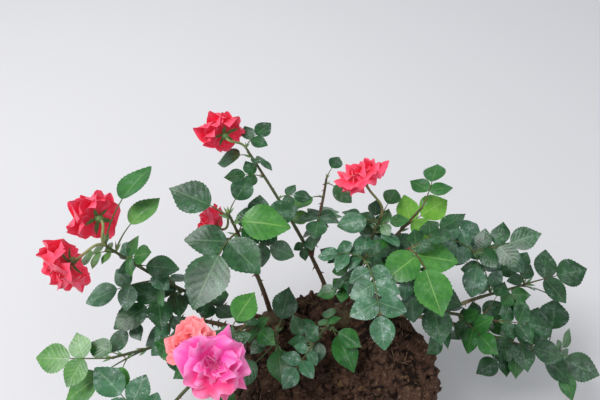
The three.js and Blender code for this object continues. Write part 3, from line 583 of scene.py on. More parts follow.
def tubes(paths, side, radii, sides):
    """Tubes along paths (copies, rows, 3): path + r (side cos a + (side x along) sin a)."""
    along = unit(np.gradient(paths, axis=1))
    side = square_to(along, side)
    other = np.cross(side, along)
    a = angles(sides)
    rings = paths[:, :, None] + np.broadcast_to(radii, paths.shape[:2] + (sides,))[..., None] * (
        side[:, :, None] * cos(a)[:, None] + other[:, :, None] * sin(a)[:, None])
    steps = np.linalg.norm(np.diff(paths, axis=1), axis=-1)
    run = np.concatenate([np.zeros((len(paths), 1)), np.cumsum(steps, axis=1)], axis=1)
    uv = stack(a / (2 * pi), run[..., None] / 100)
    return closed_round(rings, paths[:, 0], paths[:, -1], uv)


def join(skins):
    """Several skins as one."""
    start = np.cumsum([0] + [len(s.points) for s in skins[:-1]])
    return Skin(np.concatenate([s.points for s in skins]),
                np.concatenate([s.quads + n for s, n in zip(skins, start)]),
                np.concatenate([s.tris + n for s, n in zip(skins, start)]),
                np.concatenate([s.uv for s in skins]))


def make_piece(name, skins, material, replaces=()):
    """A mesh object in metres that rides on the plant, with its material."""
    skin = join(skins)
    mesh = bpy.data.meshes.new(name)
    mesh.from_pydata((skin.points * MM).tolist(), [], skin.quads.tolist() + skin.tris.tolist())
    corner = np.empty(len(mesh.loops), np.int32)
    mesh.loops.foreach_get("vertex_index", corner)
    uv = skin.uv[corner].astype(np.float32).ravel()
    mesh.uv_layers.new(name="shape").data.foreach_set("uv", uv)
    mesh.polygons.foreach_set("use_smooth", np.ones(len(mesh.polygons), bool))
    mesh.materials.append(materials[material])
    piece = add_object(name, mesh)
    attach(piece, "root")
    if replaces:
        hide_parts(*replaces)


def lattice(cells, seed):
    """A repeatable number from 0 to 1 for each whole-numbered point of space."""
    mask = np.uint64(0xFFFFFFFF)
    c = (cells.astype(np.int64) & 0xFFFFFFFF).astype(np.uint64)
    mixed = (c[..., 0] * 73856093 ^ c[..., 1] * 19349663 ^ c[..., 2] * 83492791 ^ (seed * 2654435))
    mixed = (mixed ^ (mixed >> np.uint64(13))) * np.uint64(1274126177) & mask
    mixed = (mixed ^ (mixed >> np.uint64(16))) * np.uint64(668265263) & mask
    return (mixed >> np.uint64(8)).astype(float) / 2 ** 24


def steps_round(*steps):
    """Every point of space whose three coordinates are among those steps."""
    return np.stack(np.meshgrid(steps, steps, steps, indexing="ij"), axis=-1).reshape(-1, 3)


def eased(f):
    """Shares from 0 to 1 eased in and out: 3 f^2 - 2 f^3."""
    return f * f * (3 - 2 * f)


def soft_noise(points, step, seed):
    """Smooth noise from 0 to 1: lattice values blended by 3 f^2 - 2 f^3 on each axis."""
    p = points / step
    cell = np.floor(p)
    f = eased(p - cell)
    total = 0
    for corner in steps_round(0, 1):
        weight = np.prod(np.where(corner == 1, f, 1 - f), axis=-1)
        total = total + weight * lattice(cell + corner, seed)
    return total


def clods(points, step, seed):
    """Rounded lumps from 0 to 1: one less the distance to the nearest of one point per cell."""
    p = points / step
    cell = np.floor(p)
    nearest = np.full(points.shape[:-1], np.inf)
    for offset in steps_round(-1, 0, 1):
        there = cell + offset
        centre = there + np.stack([lattice(there, seed + i) for i in range(3)], axis=-1)
        nearest = np.minimum(nearest, np.linalg.norm(p - centre, axis=-1))
    return np.clip(1 - nearest, 0, 1)


# Leaves: the toothed blades and their stalks. The powers by which a blade draws in to its tip
# lie between the two numbers of its point.
BLADE = Record(rows=25, point=(0.10, 0.42), tip=0.40, tooth_out=1.025, tooth_in=0.968,
               tooth_ahead=0.010, least=0.012, end=0.006)
# The dusty leaflets are smaller and rounder than the others.
BLADE_SIZE = {"dusty": 0.90}
BLADE_POINT = {"dusty": (0.0, 0.16)}


def leaflet_sheets(root, direction, normal, across, span, seed, breadth=1.0, toothed=True,
                   point=BLADE.point):
    """Leaflets: root + L (direction s + across w h(s) + normal z), with h(s) the outline.

    z folds the halves up from the midrib by |w|, arches the tip down by s^2 and waves the rim.
    The rim's points lie out and in by turns, so that the outline is toothed, and it draws in
    to its tip by ((1 - s) / 0.4) to a power between the two in point."""
    drawn = draws(seed, len(span), 1, 1)
    s = np.linspace(0, 1, BLADE.rows)[:, None]
    w = np.array([-1, 0, 1])[None]
    odd = (np.arange(BLADE.rows) % 2)[:, None] == 1
    rim = (np.abs(w) == 1) & toothed & (s > 0.1) & (s < 1)
    tooth = np.where(rim, np.where(odd, BLADE.tooth_out, BLADE.tooth_in), 1.0)
    ahead = np.where(rim & odd, BLADE.tooth_ahead, 0.0)
    fold, arch, wave = drawn(0.02, 0.24), drawn(0.00, 0.16), drawn(0.0, 0.022)
    phase, bend = drawn(0, 2 * pi), drawn(-0.07, 0.07)
    acute = np.minimum((1 - s) / BLADE.tip, 1) ** drawn(*point)
    outline = np.maximum(half_width(s) * (s > 0.03) * acute, BLADE.least) * breadth * tooth
    outline = np.where(s == 1, BLADE.end, outline)
    height = (fold * outline * np.abs(w) * (1.2 - 0.5 * np.abs(w)) - arch * s ** 2.2
              + wave * np.abs(w) * sin(9 * s + phase + 1.5 * np.sign(w)))
    sideways = w * outline + bend * s ** 2 * (1 - 0.3 * s)
    points = root[:, None, None] + span[:, None, None, None] * (
        direction[:, None, None] * (s + ahead)[None, :, :, None]
        + across[:, None, None] * sideways[..., None] + normal[:, None, None] * height[..., None])
    return sheets(points, stack(0.5 + 0.5 * w, s))


def stalk_tubes(leaves, rows=9, sides=5):
    """The stalks of compound leaves: tubes that taper from the shoot to the end leaflet."""
    t = np.linspace(0, 1, rows)
    paths = np.stack([bezier(leaf.stalk, t) for leaf in leaves])
    size = np.array([leaf.size for leaf in leaves])[:, None] ** 0.5
    taper = LEAF.stalk_radius * size * (0.95 - 0.5 * t) + 0.5 * size * np.exp(-t * 14)
    side = np.stack([leaf.side for leaf in leaves])[:, None]
    return tubes(paths, side, taper[..., None], sides)


def stipules(leaves):
    """Two narrow wings at the foot of the stalk of each leaf that isn't small."""
    grown = [leaf for leaf in leaves if leaf.size > 0.5]
    foot = np.array([bezier(leaf.stalk, 0.06) for leaf in grown])
    ahead = np.array([tangent(leaf.stalk, 0.1) for leaf in grown])
    side = square_to(ahead, np.array([leaf.side for leaf in grown]))
    length = 8.5 * np.array([leaf.size for leaf in grown])
    skins = []
    for hand in (1, -1):
        direction = unit(ahead + hand * 0.42 * side)
        across = unit(np.cross(direction, np.cross(ahead, side)))
        skins.append(leaflet_sheets(foot, direction, np.cross(direction, across), across,
                                    length, SEED.stipules + hand, breadth=0.30, toothed=False))
    return skins


# Canes, shoots and their prickles.
def shoot_side(curve):
    """A direction across a shoot's chord, level unless the shoot stands nearly upright."""
    chord = curve[-1] - curve[0]
    across = np.cross(chord, UP)
    if np.linalg.norm(across) < 0.2 * np.linalg.norm(chord):
        across = np.cross(chord, [0, 1, 0])
    return unit(across)


def stem_tube(curve, start, end, limb, seed):
    """A tapering limb, whose radius swells at joints along it and is ridged lengthwise."""
    drawn = draws(seed, limb.rows, limb.sides)
    share = np.linspace(0, 1, limb.rows)[:, None]
    path = bezier(curve, start + (end - start) * share[:, 0])
    a = angles(limb.sides)
    turn = drawn(0, 2 * pi, 3)
    ridges = sin(3 * a + 5 * share + turn[0]) + 0.7 * sin(5 * a - 9 * share + turn[1])
    joints = 0.10 * np.exp(-((share * 4 + turn[2] / 6) % 1 - 0.5) ** 2 / 0.004)
    rough = drawn(-0.5, 0.5)
    radius = limb.foot + (limb.end - limb.foot) * share
    radius = radius * (1 + limb.relief * (0.35 * ridges + rough) + joints)
    return tubes(path[None], shoot_side(curve), radius[None], limb.sides)


def prickles(curve, start, end, limb, seed):
    """Prickles round a limb: curved cones that lean back towards its foot."""
    count = limb.prickles
    drawn = draws(seed, count)
    share = (np.arange(count) + drawn(0.2, 0.8)) / count
    t = start + (end - start) * share
    point, along = bezier(curve, t), tangent(curve, t)
    side = square_to(along, shoot_side(curve))
    a = np.radians(GOLDEN_TURN * np.arange(count) + 40 * drawn(-1, 1))[:, None]
    out = side * cos(a) + np.cross(side, along) * sin(a)
    s = np.linspace(0, 1, 5)[None, :, None]
    radius = (limb.foot + (limb.end - limb.foot) * share)[:, None, None]
    long = limb.prickle * drawn(0.7, 1.25)[:, None, None]
    path = (point[:, None] + out[:, None] * (radius * 0.7 + long * s)
            - along[:, None] * long * 0.55 * s ** 2)
    return tubes(path, along[:, None], 0.34 * long * (1 - s) ** 1.3 + 0.04, sides=5)


# Blooms: how many petals each colour has, their breadth, how far their rims fall off to a point,
# how far they stray from an even round, and their material.
PETAL = Record(rows=9, columns=9, foot=2.2, full=0.80)
HABIT = {"coral": Record(count=36, breadth=0.50, point=0.40, stray=1.7, look="petal coral red"),
         "orange": Record(count=34, breadth=0.56, point=0.22, stray=1.8, look="petal warm orange"),
         "pink": Record(count=38, breadth=0.54, point=0.28, stray=3.2, look="petal bright pink")}


def petal_sheets(b, seed):
    """The petals of one bloom, each turned on from the last, from reflexed outside to upright.

    Along a petal its slope from the axis runs evenly from q0 to q1, so its arc is
    r = r0 + L (cos q0 - cos q) / (q1 - q0) and h = h0 + L (sin q - sin q0) / (q1 - q0). Its rim
    falls off to both sides of a point in its middle, and its sides roll back. The inner petals
    wrap round the middle, so their rims turn about the axis."""
    habit = HABIT[b.colour]
    count, stray = habit.count, habit.stray
    drawn = draws(seed, count, 1, 1)
    base, axis, first, second = bloom_axes(b)
    inner = (np.arange(count) / (count - 1))[:, None, None]
    turn = np.radians(GOLDEN_TURN * np.arange(count) + 14 * stray * drawn(-1, 1, count))
    v = np.linspace(0, 1, PETAL.rows)[None, :, None]
    u = np.linspace(-1, 1, PETAL.columns)[None, None]
    length = b.radius * (0.93 + 0.20 * sin(pi * inner ** 0.7) - 0.38 * inner)
    length = length * (1 + 0.08 * (stray * drawn(-1, 1)))
    q0 = np.radians(58 - 50 * inner ** 0.8)
    q1 = np.radians(142 - 132 * inner ** 0.85 + 13 * stray * drawn(-1, 1))
    q1 = np.where(np.abs(q1 - q0) < 0.05, q0 + 0.05, q1)
    q = q0 + (q1 - q0) * v * (1 - habit.point * np.abs(u) ** 2.2)
    broad = length * habit.breadth * (0.22 + 0.78 * sin(pi * PETAL.full * v ** 1.25))
    phase = drawn(0, 2 * pi, 2, count, 1, 1)
    rolled = 0.40 * (1 - 0.45 * inner) * np.abs(u) ** 1.8 * v ** 2.0
    cup = length * (u ** 2 * (0.20 + 0.16 * inner) * (1 - v) - rolled)
    ruffle = length * stray * (0.045 * v ** 2 * sin(1.5 * pi * u + phase[0])
                               + 0.026 * v * sin(2.4 * pi * u + 4 * v + phase[1]))
    off = cup + ruffle
    r = PETAL.foot + length * (cos(q0) - cos(q)) / (q1 - q0) - off * cos(q)
    h = BLOOM.depth * 0.36 + length * (sin(q) - sin(q0)) / (q1 - q0) + off * sin(q)
    out = (first * cos(turn)[:, None] + second * sin(turn)[:, None])[:, None, None]
    side = np.cross(axis, out)
    wrap = u * broad * (0.35 + 0.65 * inner) / np.maximum(r, 0.35 * broad + 2)
    flat = u * broad * (0.65 - 0.65 * inner)
    spread = out * cos(wrap)[..., None] + side * sin(wrap)[..., None]
    points = base + axis * h[..., None] + spread * r[..., None] + side * flat[..., None]
    return sheets(points, stack(0.5 + 0.5 * u, v))


def hip_tube(b):
    """The green hip under a bloom: a round swollen to its middle, with the neck of the calyx."""
    base, axis, first, _ = bloom_axes(b)
    share = np.linspace(0, 1, 9)
    radius = np.interp(share, [0, 0.2, 0.5, 0.78, 1], [0.35, 0.85, 1.05, 0.72, 0.9]) * BLOOM.hip
    path = base + axis * (share[:, None] * 0.42 * BLOOM.depth - 0.5)
    return tubes(path[None], first, radius[None, :, None], sides=12)


def sepal_sheets(b, seed):
    """Narrow green sepals, laid back from the hip."""
    base, axis, first, second = bloom_axes(b)
    a = np.radians(np.arange(BLOOM.sepals) * 360 / BLOOM.sepals + 20)[:, None]
    out = first * cos(a) + second * sin(a)
    direction = unit(out - 0.16 * axis)
    across = np.cross(axis, out)
    root = base + axis * BLOOM.depth * 0.30 + out * 2.2
    length = BLOOM.sepal * draws(seed, BLOOM.sepals)(0.62, 0.95)
    return leaflet_sheets(root, direction, np.cross(direction, across), across, length, seed,
                          breadth=0.42, toothed=False)


# Root ball: the source's round with crumbly relief, fine roots, clods and pebbles. Roots and
# stones lie on a part of its profile. Each layer of the relief has its depth, the noise that it
# follows, the size of its lumps and the seed of that noise.
SOIL = Record(rows=230, sides=400, littered=(0.30, 0.985), crack=2.2, crack_width=0.035,
              crack_size=17, crack_seed=8)
SOIL_LAYERS = ((3.4, clods, 13, 5), (2.8, clods, 6, 9), (2.4, soft_noise, 24, 3),
               (1.9, soft_noise, 3.2, 4))
CLODS = {"count": 2400, "least": 0.8, "most": 5.4, "seed": 21}
PEBBLES = {"count": 70, "least": 1.5, "most": 5.0, "seed": 22}
ROOTS = {"count": 60, "long": 1.0, "rows": 26, "seed": 23}
STRAWS = {"count": 260, "long": 0.12, "rows": 7, "seed": 24}


def ball_profile():
    """The profile from the underside's middle round to the top's, as radius, height and share."""
    share = np.arange(7) / 7
    side = BALL.foot + (BALL.top - BALL.foot) * share + BALL.bulge * sin(pi * share)
    top = BALL.top * np.array([0.93, 0.8, 0.6, 0.4, 0.2, 0])
    r = np.concatenate([[0, BALL.foot / 2], side, top])
    z = np.concatenate([[0, 0], BALL.height * share, [BALL.height - 3], np.full(5, BALL.height)])
    run = np.concatenate([[0], np.cumsum(np.hypot(np.diff(r), np.diff(z)))])
    return np.stack([r, z, run / run[-1]])


PROFILE = ball_profile()


def profile_at(share):
    """The radius and the height of the profile at shares of its length."""
    share = np.clip(share, 0, 1)
    return np.array([np.interp(share, PROFILE[2], PROFILE[0]),
                     np.interp(share, PROFILE[2], PROFILE[1])])


def ball_points(share, angle):
    """Points of the root ball's surface: the source's waves, then lumps along the normal.

    With them comes how high each lies in the relief, from 0 in a hollow to 1 on a lump."""
    share, angle = np.broadcast_arrays(share, angle)
    r, z = profile_at(share)
    step = 0.012
    dr, dz = profile_at(share + step) - profile_at(share - step)
    steep = np.hypot(dr, dz)
    x, y = r * cos(angle), r * sin(angle)
    on_top = z > BALL.height - 1
    wave = (sin(3 * angle + z / 23) + 0.7 * sin(7 * angle - z / 11)
            + 0.6 * sin(x / 9 + y / 13) * cos(z / 8))
    swell = 1 + (z > 1) * BALL.rough * wave / BALL.top * np.where(on_top, 0.4, 1)
    x, y = x * swell, y * swell
    nearest = np.min([np.hypot(x - kx, y - ky) for kx, ky in KNUCKLES.values()], axis=0)
    free = eased(np.clip((nearest - KNUCKLE.radius - 8) / 14, 0, 1))
    hump = np.where(on_top, free * (-1.5 + 2.2 * sin(x / 11 + 1) * cos(y / 9)), 0)
    point = stack(x, y, z + hump)
    normal = stack(dz / steep * cos(angle), dz / steep * sin(angle), -dr / steep)
    relief = sum(depth * (noise(point, size, seed) - 0.5)
                 for depth, noise, size, seed in SOIL_LAYERS)
    between = soft_noise(point, SOIL.crack_size, SOIL.crack_seed) - 0.5
    relief = relief - SOIL.crack * (np.abs(between) < SOIL.crack_width)
    calm = np.clip(z / 6, 0, 1) * np.where(on_top, 0.35 + 0.65 * free, 1)
    point = point + normal * (relief * calm)[..., None]
    point[..., 2] = np.maximum(point[..., 2], 0)
    return point, np.clip(0.5 + relief / 6, 0, 1)


def ball_skin():
    """The whole surface of the root ball, closed by a pole below and one above."""
    share = np.linspace(0, 1, SOIL.rows + 2)[1:-1, None]
    rings, level = (grid[None] for grid in ball_points(share, angles(SOIL.sides)[None]))
    low, high = rings[:, 0].mean(axis=1), rings[:, -1].mean(axis=1)
    # The height in the relief goes into the map, for the painted shade in the soil's hollows.
    return closed_round(rings, low, high, stack(level, share))


def stones(count, least, most, seed):
    """Small lumps half sunk in the soil: a round whose radius is bent by two waves."""
    drawn = draws(seed, count)
    share = drawn(*SOIL.littered)
    centre = ball_points(share, drawn(0, 2 * pi))[0]
    size = least * (most / least) ** (drawn(0, 1) ** 1.8)
    polar = np.radians(np.array([25, 62, 98, 135]))[None, :, None]
    angle = angles(7)[None, None]
    phase = drawn(0, 6, 2, count, 1, 1)
    radius = size[:, None, None] * (1 + 0.22 * sin(2 * angle + phase[0] + 2 * polar)
                                    + 0.15 * sin(3 * angle - phase[1]))
    stretch = drawn(0.6, 1.15, count, 1, 3)
    round_one = stack(sin(polar) * cos(angle), sin(polar) * sin(angle), cos(polar))
    rings = round_one * radius[..., None] * stretch[:, :, None] + centre[:, None, None]
    tall = size[:, None] * stretch[:, 0] * UP
    uv = np.full(rings.shape[1:3] + (2,), 0.5)
    return closed_round(rings[:, ::-1], centre - tall, centre + tall, uv)


def root_tubes(count, long, rows, seed):
    """Fine roots that wander over the soil: each point lies on the surface, barely proud of it."""
    drawn = draws(seed, count, 1)
    t = np.linspace(0, 1, rows)[None]
    start = drawn(0.36, 0.97)
    share = np.clip(start + long * drawn(-0.34, 0.12) * t, *SOIL.littered)
    phase = drawn(0, 6, 2, count, 1)
    angle = (drawn(0, 2 * pi) + long * drawn(-0.7, 0.7) * t
             + long * (0.05 * sin(7 * t + phase[0]) + 0.025 * sin(17 * t + phase[1])))
    path = ball_points(share, angle)[0]
    path[:, 1:-1] = (path[:, :-2] + 2 * path[:, 1:-1] + path[:, 2:]) / 4
    out = unit(path * np.array([1, 1, 0.2]) + 0.01 * UP)
    thick = drawn(0.22, 0.62) * (1 - 0.55 * t)
    return tubes(path + out * 0.35, out, thick[..., None], sides=4)


def knuckle_skin(place, seed):
    """A woody knob: the source's profile, with ridged bark and the healed ends of old canes."""
    share = np.linspace(0, 1, KNUCKLE.rows)[:, None]
    h = share * KNUCKLE.height
    profile = np.interp(share, [0, 0.3, 0.62, 0.9, 1.0], [1.05, 1.0, 0.82, 0.5, 0.02])
    r = profile * KNUCKLE.radius * 0.93
    a = angles(KNUCKLE.sides)[None]
    low = BALL.height + CLEARANCE
    point = stack(place[0] + r * cos(a), place[1] + r * sin(a), low + h)
    relief = (2.4 * (soft_noise(point, 8, seed) - 0.5) + 1.8 * (clods(point, 7, seed + 3) - 0.4)
              + 0.5 * sin(9 * a + h / 2))
    out = stack(cos(a), sin(a), 0.4 * share)
    ring = point + out * (relief * (1 - share ** 6))[..., None]
    return closed_round(ring[None], np.array([*place, low]), ring[-1].mean(axis=0),
                        stack(a / (2 * pi), h / 100))


# Materials. Colours are written as 0 to 255, and put() turns them to linear light.
def tone(colour):
    """A colour in linear light, by the usual curve ((c + 0.055) / 1.055)^2.4."""
    share = np.array(colour) / 255
    linear = np.where(share <= 0.04045, share / 12.92, ((share + 0.055) / 1.055) ** 2.4)
    return (*linear.tolist(), 1.0)


class Value:
    """What a shader node gives out. Its sums, differences and products are nodes too."""

    def __init__(self, graph, socket):
        self.graph, self.socket = graph, socket

    def __add__(self, other):
        return self.graph.math("ADD", self, other)

    def __sub__(self, other):
        return self.graph.math("SUBTRACT", self, other)

    def __mul__(self, other):
        return self.graph.math("MULTIPLY", self, other)

    def __abs__(self):
        return self.graph.math("ABSOLUTE", self)


class Graph:
    """A node tree, with short calls for the nodes that the materials use."""

    def __init__(self, tree):
        self.tree = tree

    def put(self, value, socket):
        if isinstance(value, Value):
            self.tree.links.new(value.socket, socket)
        else:
            socket.default_value = tone(value) if socket.type == "RGBA" else value

    def node(self, kind, inputs, **settings):
        """What a new node gives out."""
        made = self.tree.nodes.new("ShaderNode" + kind)
        for key, value in settings.items():
            setattr(made, key, value)
        for key, value in inputs.items():
            self.put(value, made.inputs[key])
        return made.outputs

    def value(self, kind, inputs, output=0, **settings):
        """One of the values that a new node gives out."""
        return Value(self, self.node(kind, inputs, **settings)[output])

    def group(self, name, *inputs):
        """The values that one of the node groups gives out."""
        made = self.node("Group", {}, node_tree=bpy.data.node_groups[name])
        for value, socket in zip(inputs, made[0].node.inputs):
            self.put(value, socket)
        return [Value(self, socket) for socket in made]

    def parts(self, vector):
        """The x, y and z of a vector."""
        return [Value(self, socket) for socket in self.node("SeparateXYZ", {0: vector})]

    def math(self, operation, a, b=0.0):
        return self.value("Math", {0: a, 1: b}, operation=operation)

    def ramp(self, value, low, high, to_low=0.0, to_high=1.0):
        """Value from low to high, eased in and out, as to_low to to_high."""
        return self.value("MapRange", {0: value, 1: low, 2: high, 3: to_low, 4: to_high},
                          interpolation_type="SMOOTHSTEP")

    def mix(self, a, b, factor):
        return self.value("Mix", {0: factor, 6: a, 7: b}, 2, data_type="RGBA")

    def noise(self, place, scale, detail=3.0, roughness=0.55):
        return self.value("TexNoise", {"Vector": place, "Scale": scale, "Detail": detail,
                                       "Roughness": roughness})

    def cells(self, place, scale):
        return self.value("TexVoronoi", {"Vector": place, "Scale": scale})

    def stretched(self, vector, *scale):
        return self.value("Mapping", {"Vector": vector, "Scale": scale})


def new_group(name, inputs, *outputs):
    """A shader node group: its graph, the values that come in and the sockets that give out."""
    tree = bpy.data.node_groups.new(name, "ShaderNodeTree")
    for label, kind in inputs.items():
        tree.interface.new_socket(name=label, in_out="INPUT", socket_type="NodeSocket" + kind)
    for label in outputs:
        tree.interface.new_socket(name=label, in_out="OUTPUT", socket_type="NodeSocketFloat")
    graph = Graph(tree)
    given = [Value(graph, socket) for socket in tree.nodes.new("NodeGroupInput").outputs]
    return graph, given[:len(inputs)], tree.nodes.new("NodeGroupOutput").inputs


def make_leaf_veins():
    """Midrib and side veins from a leaf's own map: u across it, v from root to tip."""
    g, (own,), result = new_group("leaf veins", {"Place": "Vector"}, "Veins", "Swell")
    u, v, _ = g.parts(own)
    aside = abs(u - 0.5) * 2.0
    gap = abs(g.math("FRACT", (v - aside * 0.26) * 7.0) - 0.5) * 2.0
    faded = g.ramp(gap, 0.03, 0.16, 1.0, 0.0) * g.ramp(aside, 0.1, 0.9, 0.34, 0.03)
    g.put(g.math("MAXIMUM", g.ramp(aside, 0.015, 0.065, 1.0, 0.0), faded), result["Veins"])
    g.put(g.ramp(gap, 0.0, 0.9) * g.ramp(aside, 0.0, 0.25), result["Swell"])


def make_dust_and_sheen():
    """Spots and a thin film of dust and painted sheen, thicker where a broad noise is high."""
    g, (place, amount), result = new_group("dust", {"Place": "Vector", "Amount": "Float"}, "Mask")
    spots = g.ramp(g.cells(place, 460.0), 0.12, 0.28, 1.0, 0.0)
    patches = g.ramp(g.noise(place, 85.0), 0.40, 0.68)
    dust_and_sheen_film = g.ramp(g.noise(place, 230.0, 4.0), 0.30, 0.75)
    g.put((spots * 0.85 + dust_and_sheen_film * 0.40) * patches * amount, result["Mask"])


def make_mottle():
    """A broad noise with a finer one on it, as a mask from 0 to 1."""
    g, (place, scale), result = new_group("mottle", {"Place": "Vector", "Scale": "Float"}, "Mask")
    both = g.noise(place, scale, 2.0) * 0.65 + g.noise(place, scale * 4.7) * 0.35
    g.put(g.ramp(both, 0.34, 0.66), result["Mask"])


make_leaf_veins()
make_dust_and_sheen()
make_mottle()


class Surface(Graph):
    """A material's nodes: its shader's inputs, Object coordinates and the piece's own map."""

    def __init__(self, name):
        materials[name] = bpy.data.materials.new(name)
        materials[name].use_nodes = True
        super().__init__(materials[name].node_tree)
        self.shader = self.tree.nodes["Principled BSDF"].inputs
        self.place = self.value("TexCoord", {}, "Object")
        self.own = self.value("UVMap", {}, uv_map="shape")

    def mottle(self, scale):
        return self.group("mottle", self.place, scale)[0]

    def finish(self, colour, roughness, height, depth, strength=1.0, **others):
        """Gives the shader its colour, roughness, bump of that depth in metres and other inputs."""
        bump = self.value("Bump", {"Height": height, "Distance": depth, "Strength": strength})
        inputs = {"Base Color": colour, "Roughness": roughness, "Normal": bump, **others}
        for key, value in inputs.items():
            self.put(value, self.shader[key])


# The pale bluish tone of the dust on the leaves, which also stands in for a painted sheen.
DUST_AND_SHEEN_TONE = (206, 224, 220)
UNDERSIDE = (120, 146, 112)
LEAF_GLOSS = 0.30


def leaf_material(name, dark, light, vein, dust, gloss=LEAF_GLOSS):
    """A leaf: mottled green, paler veins, dust with a painted bluish sheen on it and a paler,
    duller underside.
    """
    g = Surface(name)
    veins, swell = g.group("leaf veins", g.own)
    dust_and_sheen_film = g.group("dust", g.place, dust)[0]
    fine = g.ramp(g.noise(g.place, 260.0), 0.35, 0.65)
    back = g.value("NewGeometry", {}, "Backfacing")
    colour = g.mix(dark, light, g.mottle(48.0) * 0.72 + fine * 0.28)
    for tint, cover in ((vein, veins * 0.42), (DUST_AND_SHEEN_TONE, dust_and_sheen_film), (UNDERSIDE, back * 0.55)):
        colour = g.mix(colour, tint, cover)
    height = swell * 0.45 + g.noise(g.place, 620.0, 4.0, 0.7) * 0.9
    g.finish(colour, dust_and_sheen_film * 0.35 + (back * 0.25 + gloss), height, 0.0003, 0.45)


def petal_material(name, main, rim, foot, flush=None, near=0.0):
    """A petal: other tones at its foot and rim, fine lines, and a flush from y = near forwards.

    It has a painted glow, which stands in for the light that falls on thin petals and comes through
    them."""
    g = Surface(name)
    u, v, _ = g.parts(g.own)
    lines = g.ramp(g.noise(g.stretched(g.own, 26.0, 1.6, 1.0), 1.0, 2.0), 0.35, 0.65)
    mottle = g.mottle(70.0)
    if flush:
        forward = g.parts(g.place)[1]
        main = g.mix(main, flush, g.ramp(forward, near - 0.022, near, 0.9, 0.0))
    colour = g.mix(foot, main, g.ramp(v, 0.05, 0.42))
    aside = abs(u - 0.5) * 2.0
    # The rim tone is paler, partly as a painted highlight along the petal edges.
    rim_and_highlight = g.math("MAXIMUM", g.ramp(v, 0.66, 1.0), g.ramp(aside, 0.70, 1.0))
    colour = g.mix(colour, rim, rim_and_highlight * g.math("ADD", 0.35, mottle * 0.4))
    colour = g.mix(colour, foot, lines * 0.10)
    # A painted glow in the petal's own colour, for the light that comes through thin petals, and a
    # sheen.
    light = {"Emission Color": colour, "Emission Strength": 0.13, "Sheen Weight": 0.25,
             "Sheen Roughness": 0.5}
    g.finish(colour, g.ramp(mottle, 0.0, 1.0, 0.50, 0.62), lines, 0.0003, 0.5, **light)


def stem_material(name, main, other, blush, gloss):
    """A green or woody stem: streaks along it, blotches of a second tone and a red blush."""
    g = Surface(name)
    streaks = g.ramp(g.noise(g.stretched(g.own, 7.0, 16.0, 1.0), 1.0, 4.0), 0.32, 0.68)
    blotch = g.mottle(60.0)
    red = g.ramp(g.noise(g.place, 26.0, 1.0), 0.46, 0.70)
    colour = g.mix(main, other, streaks * 0.8)
    colour = g.mix(g.mix(colour, other, blotch * 0.4), blush, red * 0.7)
    g.finish(colour, g.ramp(blotch, 0.0, 1.0, gloss, gloss + 0.2), streaks, 0.0006, 0.8)


def soil_material(name, dark, mid, pale, hollow_shade):
    """Damp crumbly soil: blotches of wet and dry, pale grains, painted shade in the hollows and a
    fine bump.
    """
    g = Surface(name)
    blotch, crumb = g.mottle(30.0), g.mottle(190.0)
    grain = g.ramp(g.cells(g.place, 620.0), 0.08, 0.30, 1.0, 0.0)
    dry = g.ramp(g.noise(g.place, 340.0, 5.0, 0.7), 0.50, 0.72)
    # Painted shade: the soil is darker where it lies low in its relief.
    sunk_shade = g.ramp(g.parts(g.own)[0], 0.22, 0.5, 0.85, 0.0)
    colour = g.mix(dark, mid, (blotch + crumb) * 0.5)
    for tint, cover in ((pale, dry * crumb * 0.8), (pale, grain * blotch * 0.35), (hollow_shade, sunk_shade)):
        colour = g.mix(colour, tint, cover)
    height = g.noise(g.place, 420.0, 6.0, 0.75) + crumb * 1.4
    g.finish(colour, g.ramp(blotch, 0.0, 1.0, 0.98, 0.82), height, 0.0028,
             **{"Specular IOR Level": 0.25})


def make_each(make, looks):
    """Makes the materials of a table of names and looks."""
    for name, look in looks.items():
        make(name, *look)


# Each soil has its dark, middle and pale tones and the painted shade of its hollows.
make_each(soil_material, {
    "damp soil": ((72, 48, 38), (136, 100, 80), (212, 180, 154), (24, 16, 12)),
    "pebble": ((124, 92, 62), (164, 130, 94), (204, 176, 140), (80, 58, 40))})
make_each(stem_material, {
    "fine root": ((122, 92, 66), (164, 134, 100), (96, 64, 46), 0.75),
    "bark": ((78, 74, 44), (104, 84, 58), (92, 48, 36), 0.5),
    "pale bark": ((146, 148, 104), (170, 156, 118), (120, 96, 66), 0.5),
    "green stem": ((64, 82, 42), (84, 90, 54), (98, 52, 40), 0.42),
    "leaf stalk": ((86, 112, 58), (112, 126, 76), (118, 66, 50), 0.45),
    "bloom stalk": ((132, 156, 88), (160, 172, 112), (146, 96, 66), 0.45),
    "prickle": ((134, 72, 52), (168, 116, 84), (98, 44, 34), 0.4),
    "calyx": ((84, 122, 62), (116, 148, 86), (104, 90, 56), 0.5)})
# Each leaf has its dark and light greens, its vein tone, the amount of its dust and painted sheen,
# and some a gloss.
make_each(leaf_material, {
    "leaf deep green": ((16, 56, 24), (44, 98, 52), (108, 146, 98), 0.45),
    "leaf mid green": ((28, 84, 34), (56, 120, 50), (128, 166, 100), 0.30),
    "leaf dusty green": ((26, 78, 44), (70, 126, 86), (142, 174, 138), 1.0, 0.42),
    "leaf fresh green": ((44, 110, 38), (78, 144, 54), (160, 198, 110), 0.18),
    "leaf young green": ((92, 162, 46), (130, 192, 66), (186, 216, 128), 0.08),
    "leaf light green": ((62, 118, 52), (100, 154, 76), (160, 190, 124), 0.35)})
# Each petal has its main, rim and foot tones, the rim paler and partly a painted highlight; the
# pink one also has a flush and where it begins.
make_each(petal_material, {
    "petal coral red": ((238, 30, 70), (252, 104, 138), (200, 26, 48)),
    "petal warm orange": ((238, 92, 98), (255, 176, 182), (236, 88, 74)),
    "petal bright pink": ((232, 64, 162), (255, 168, 222), (232, 50, 110), (238, 42, 96), -0.040)})

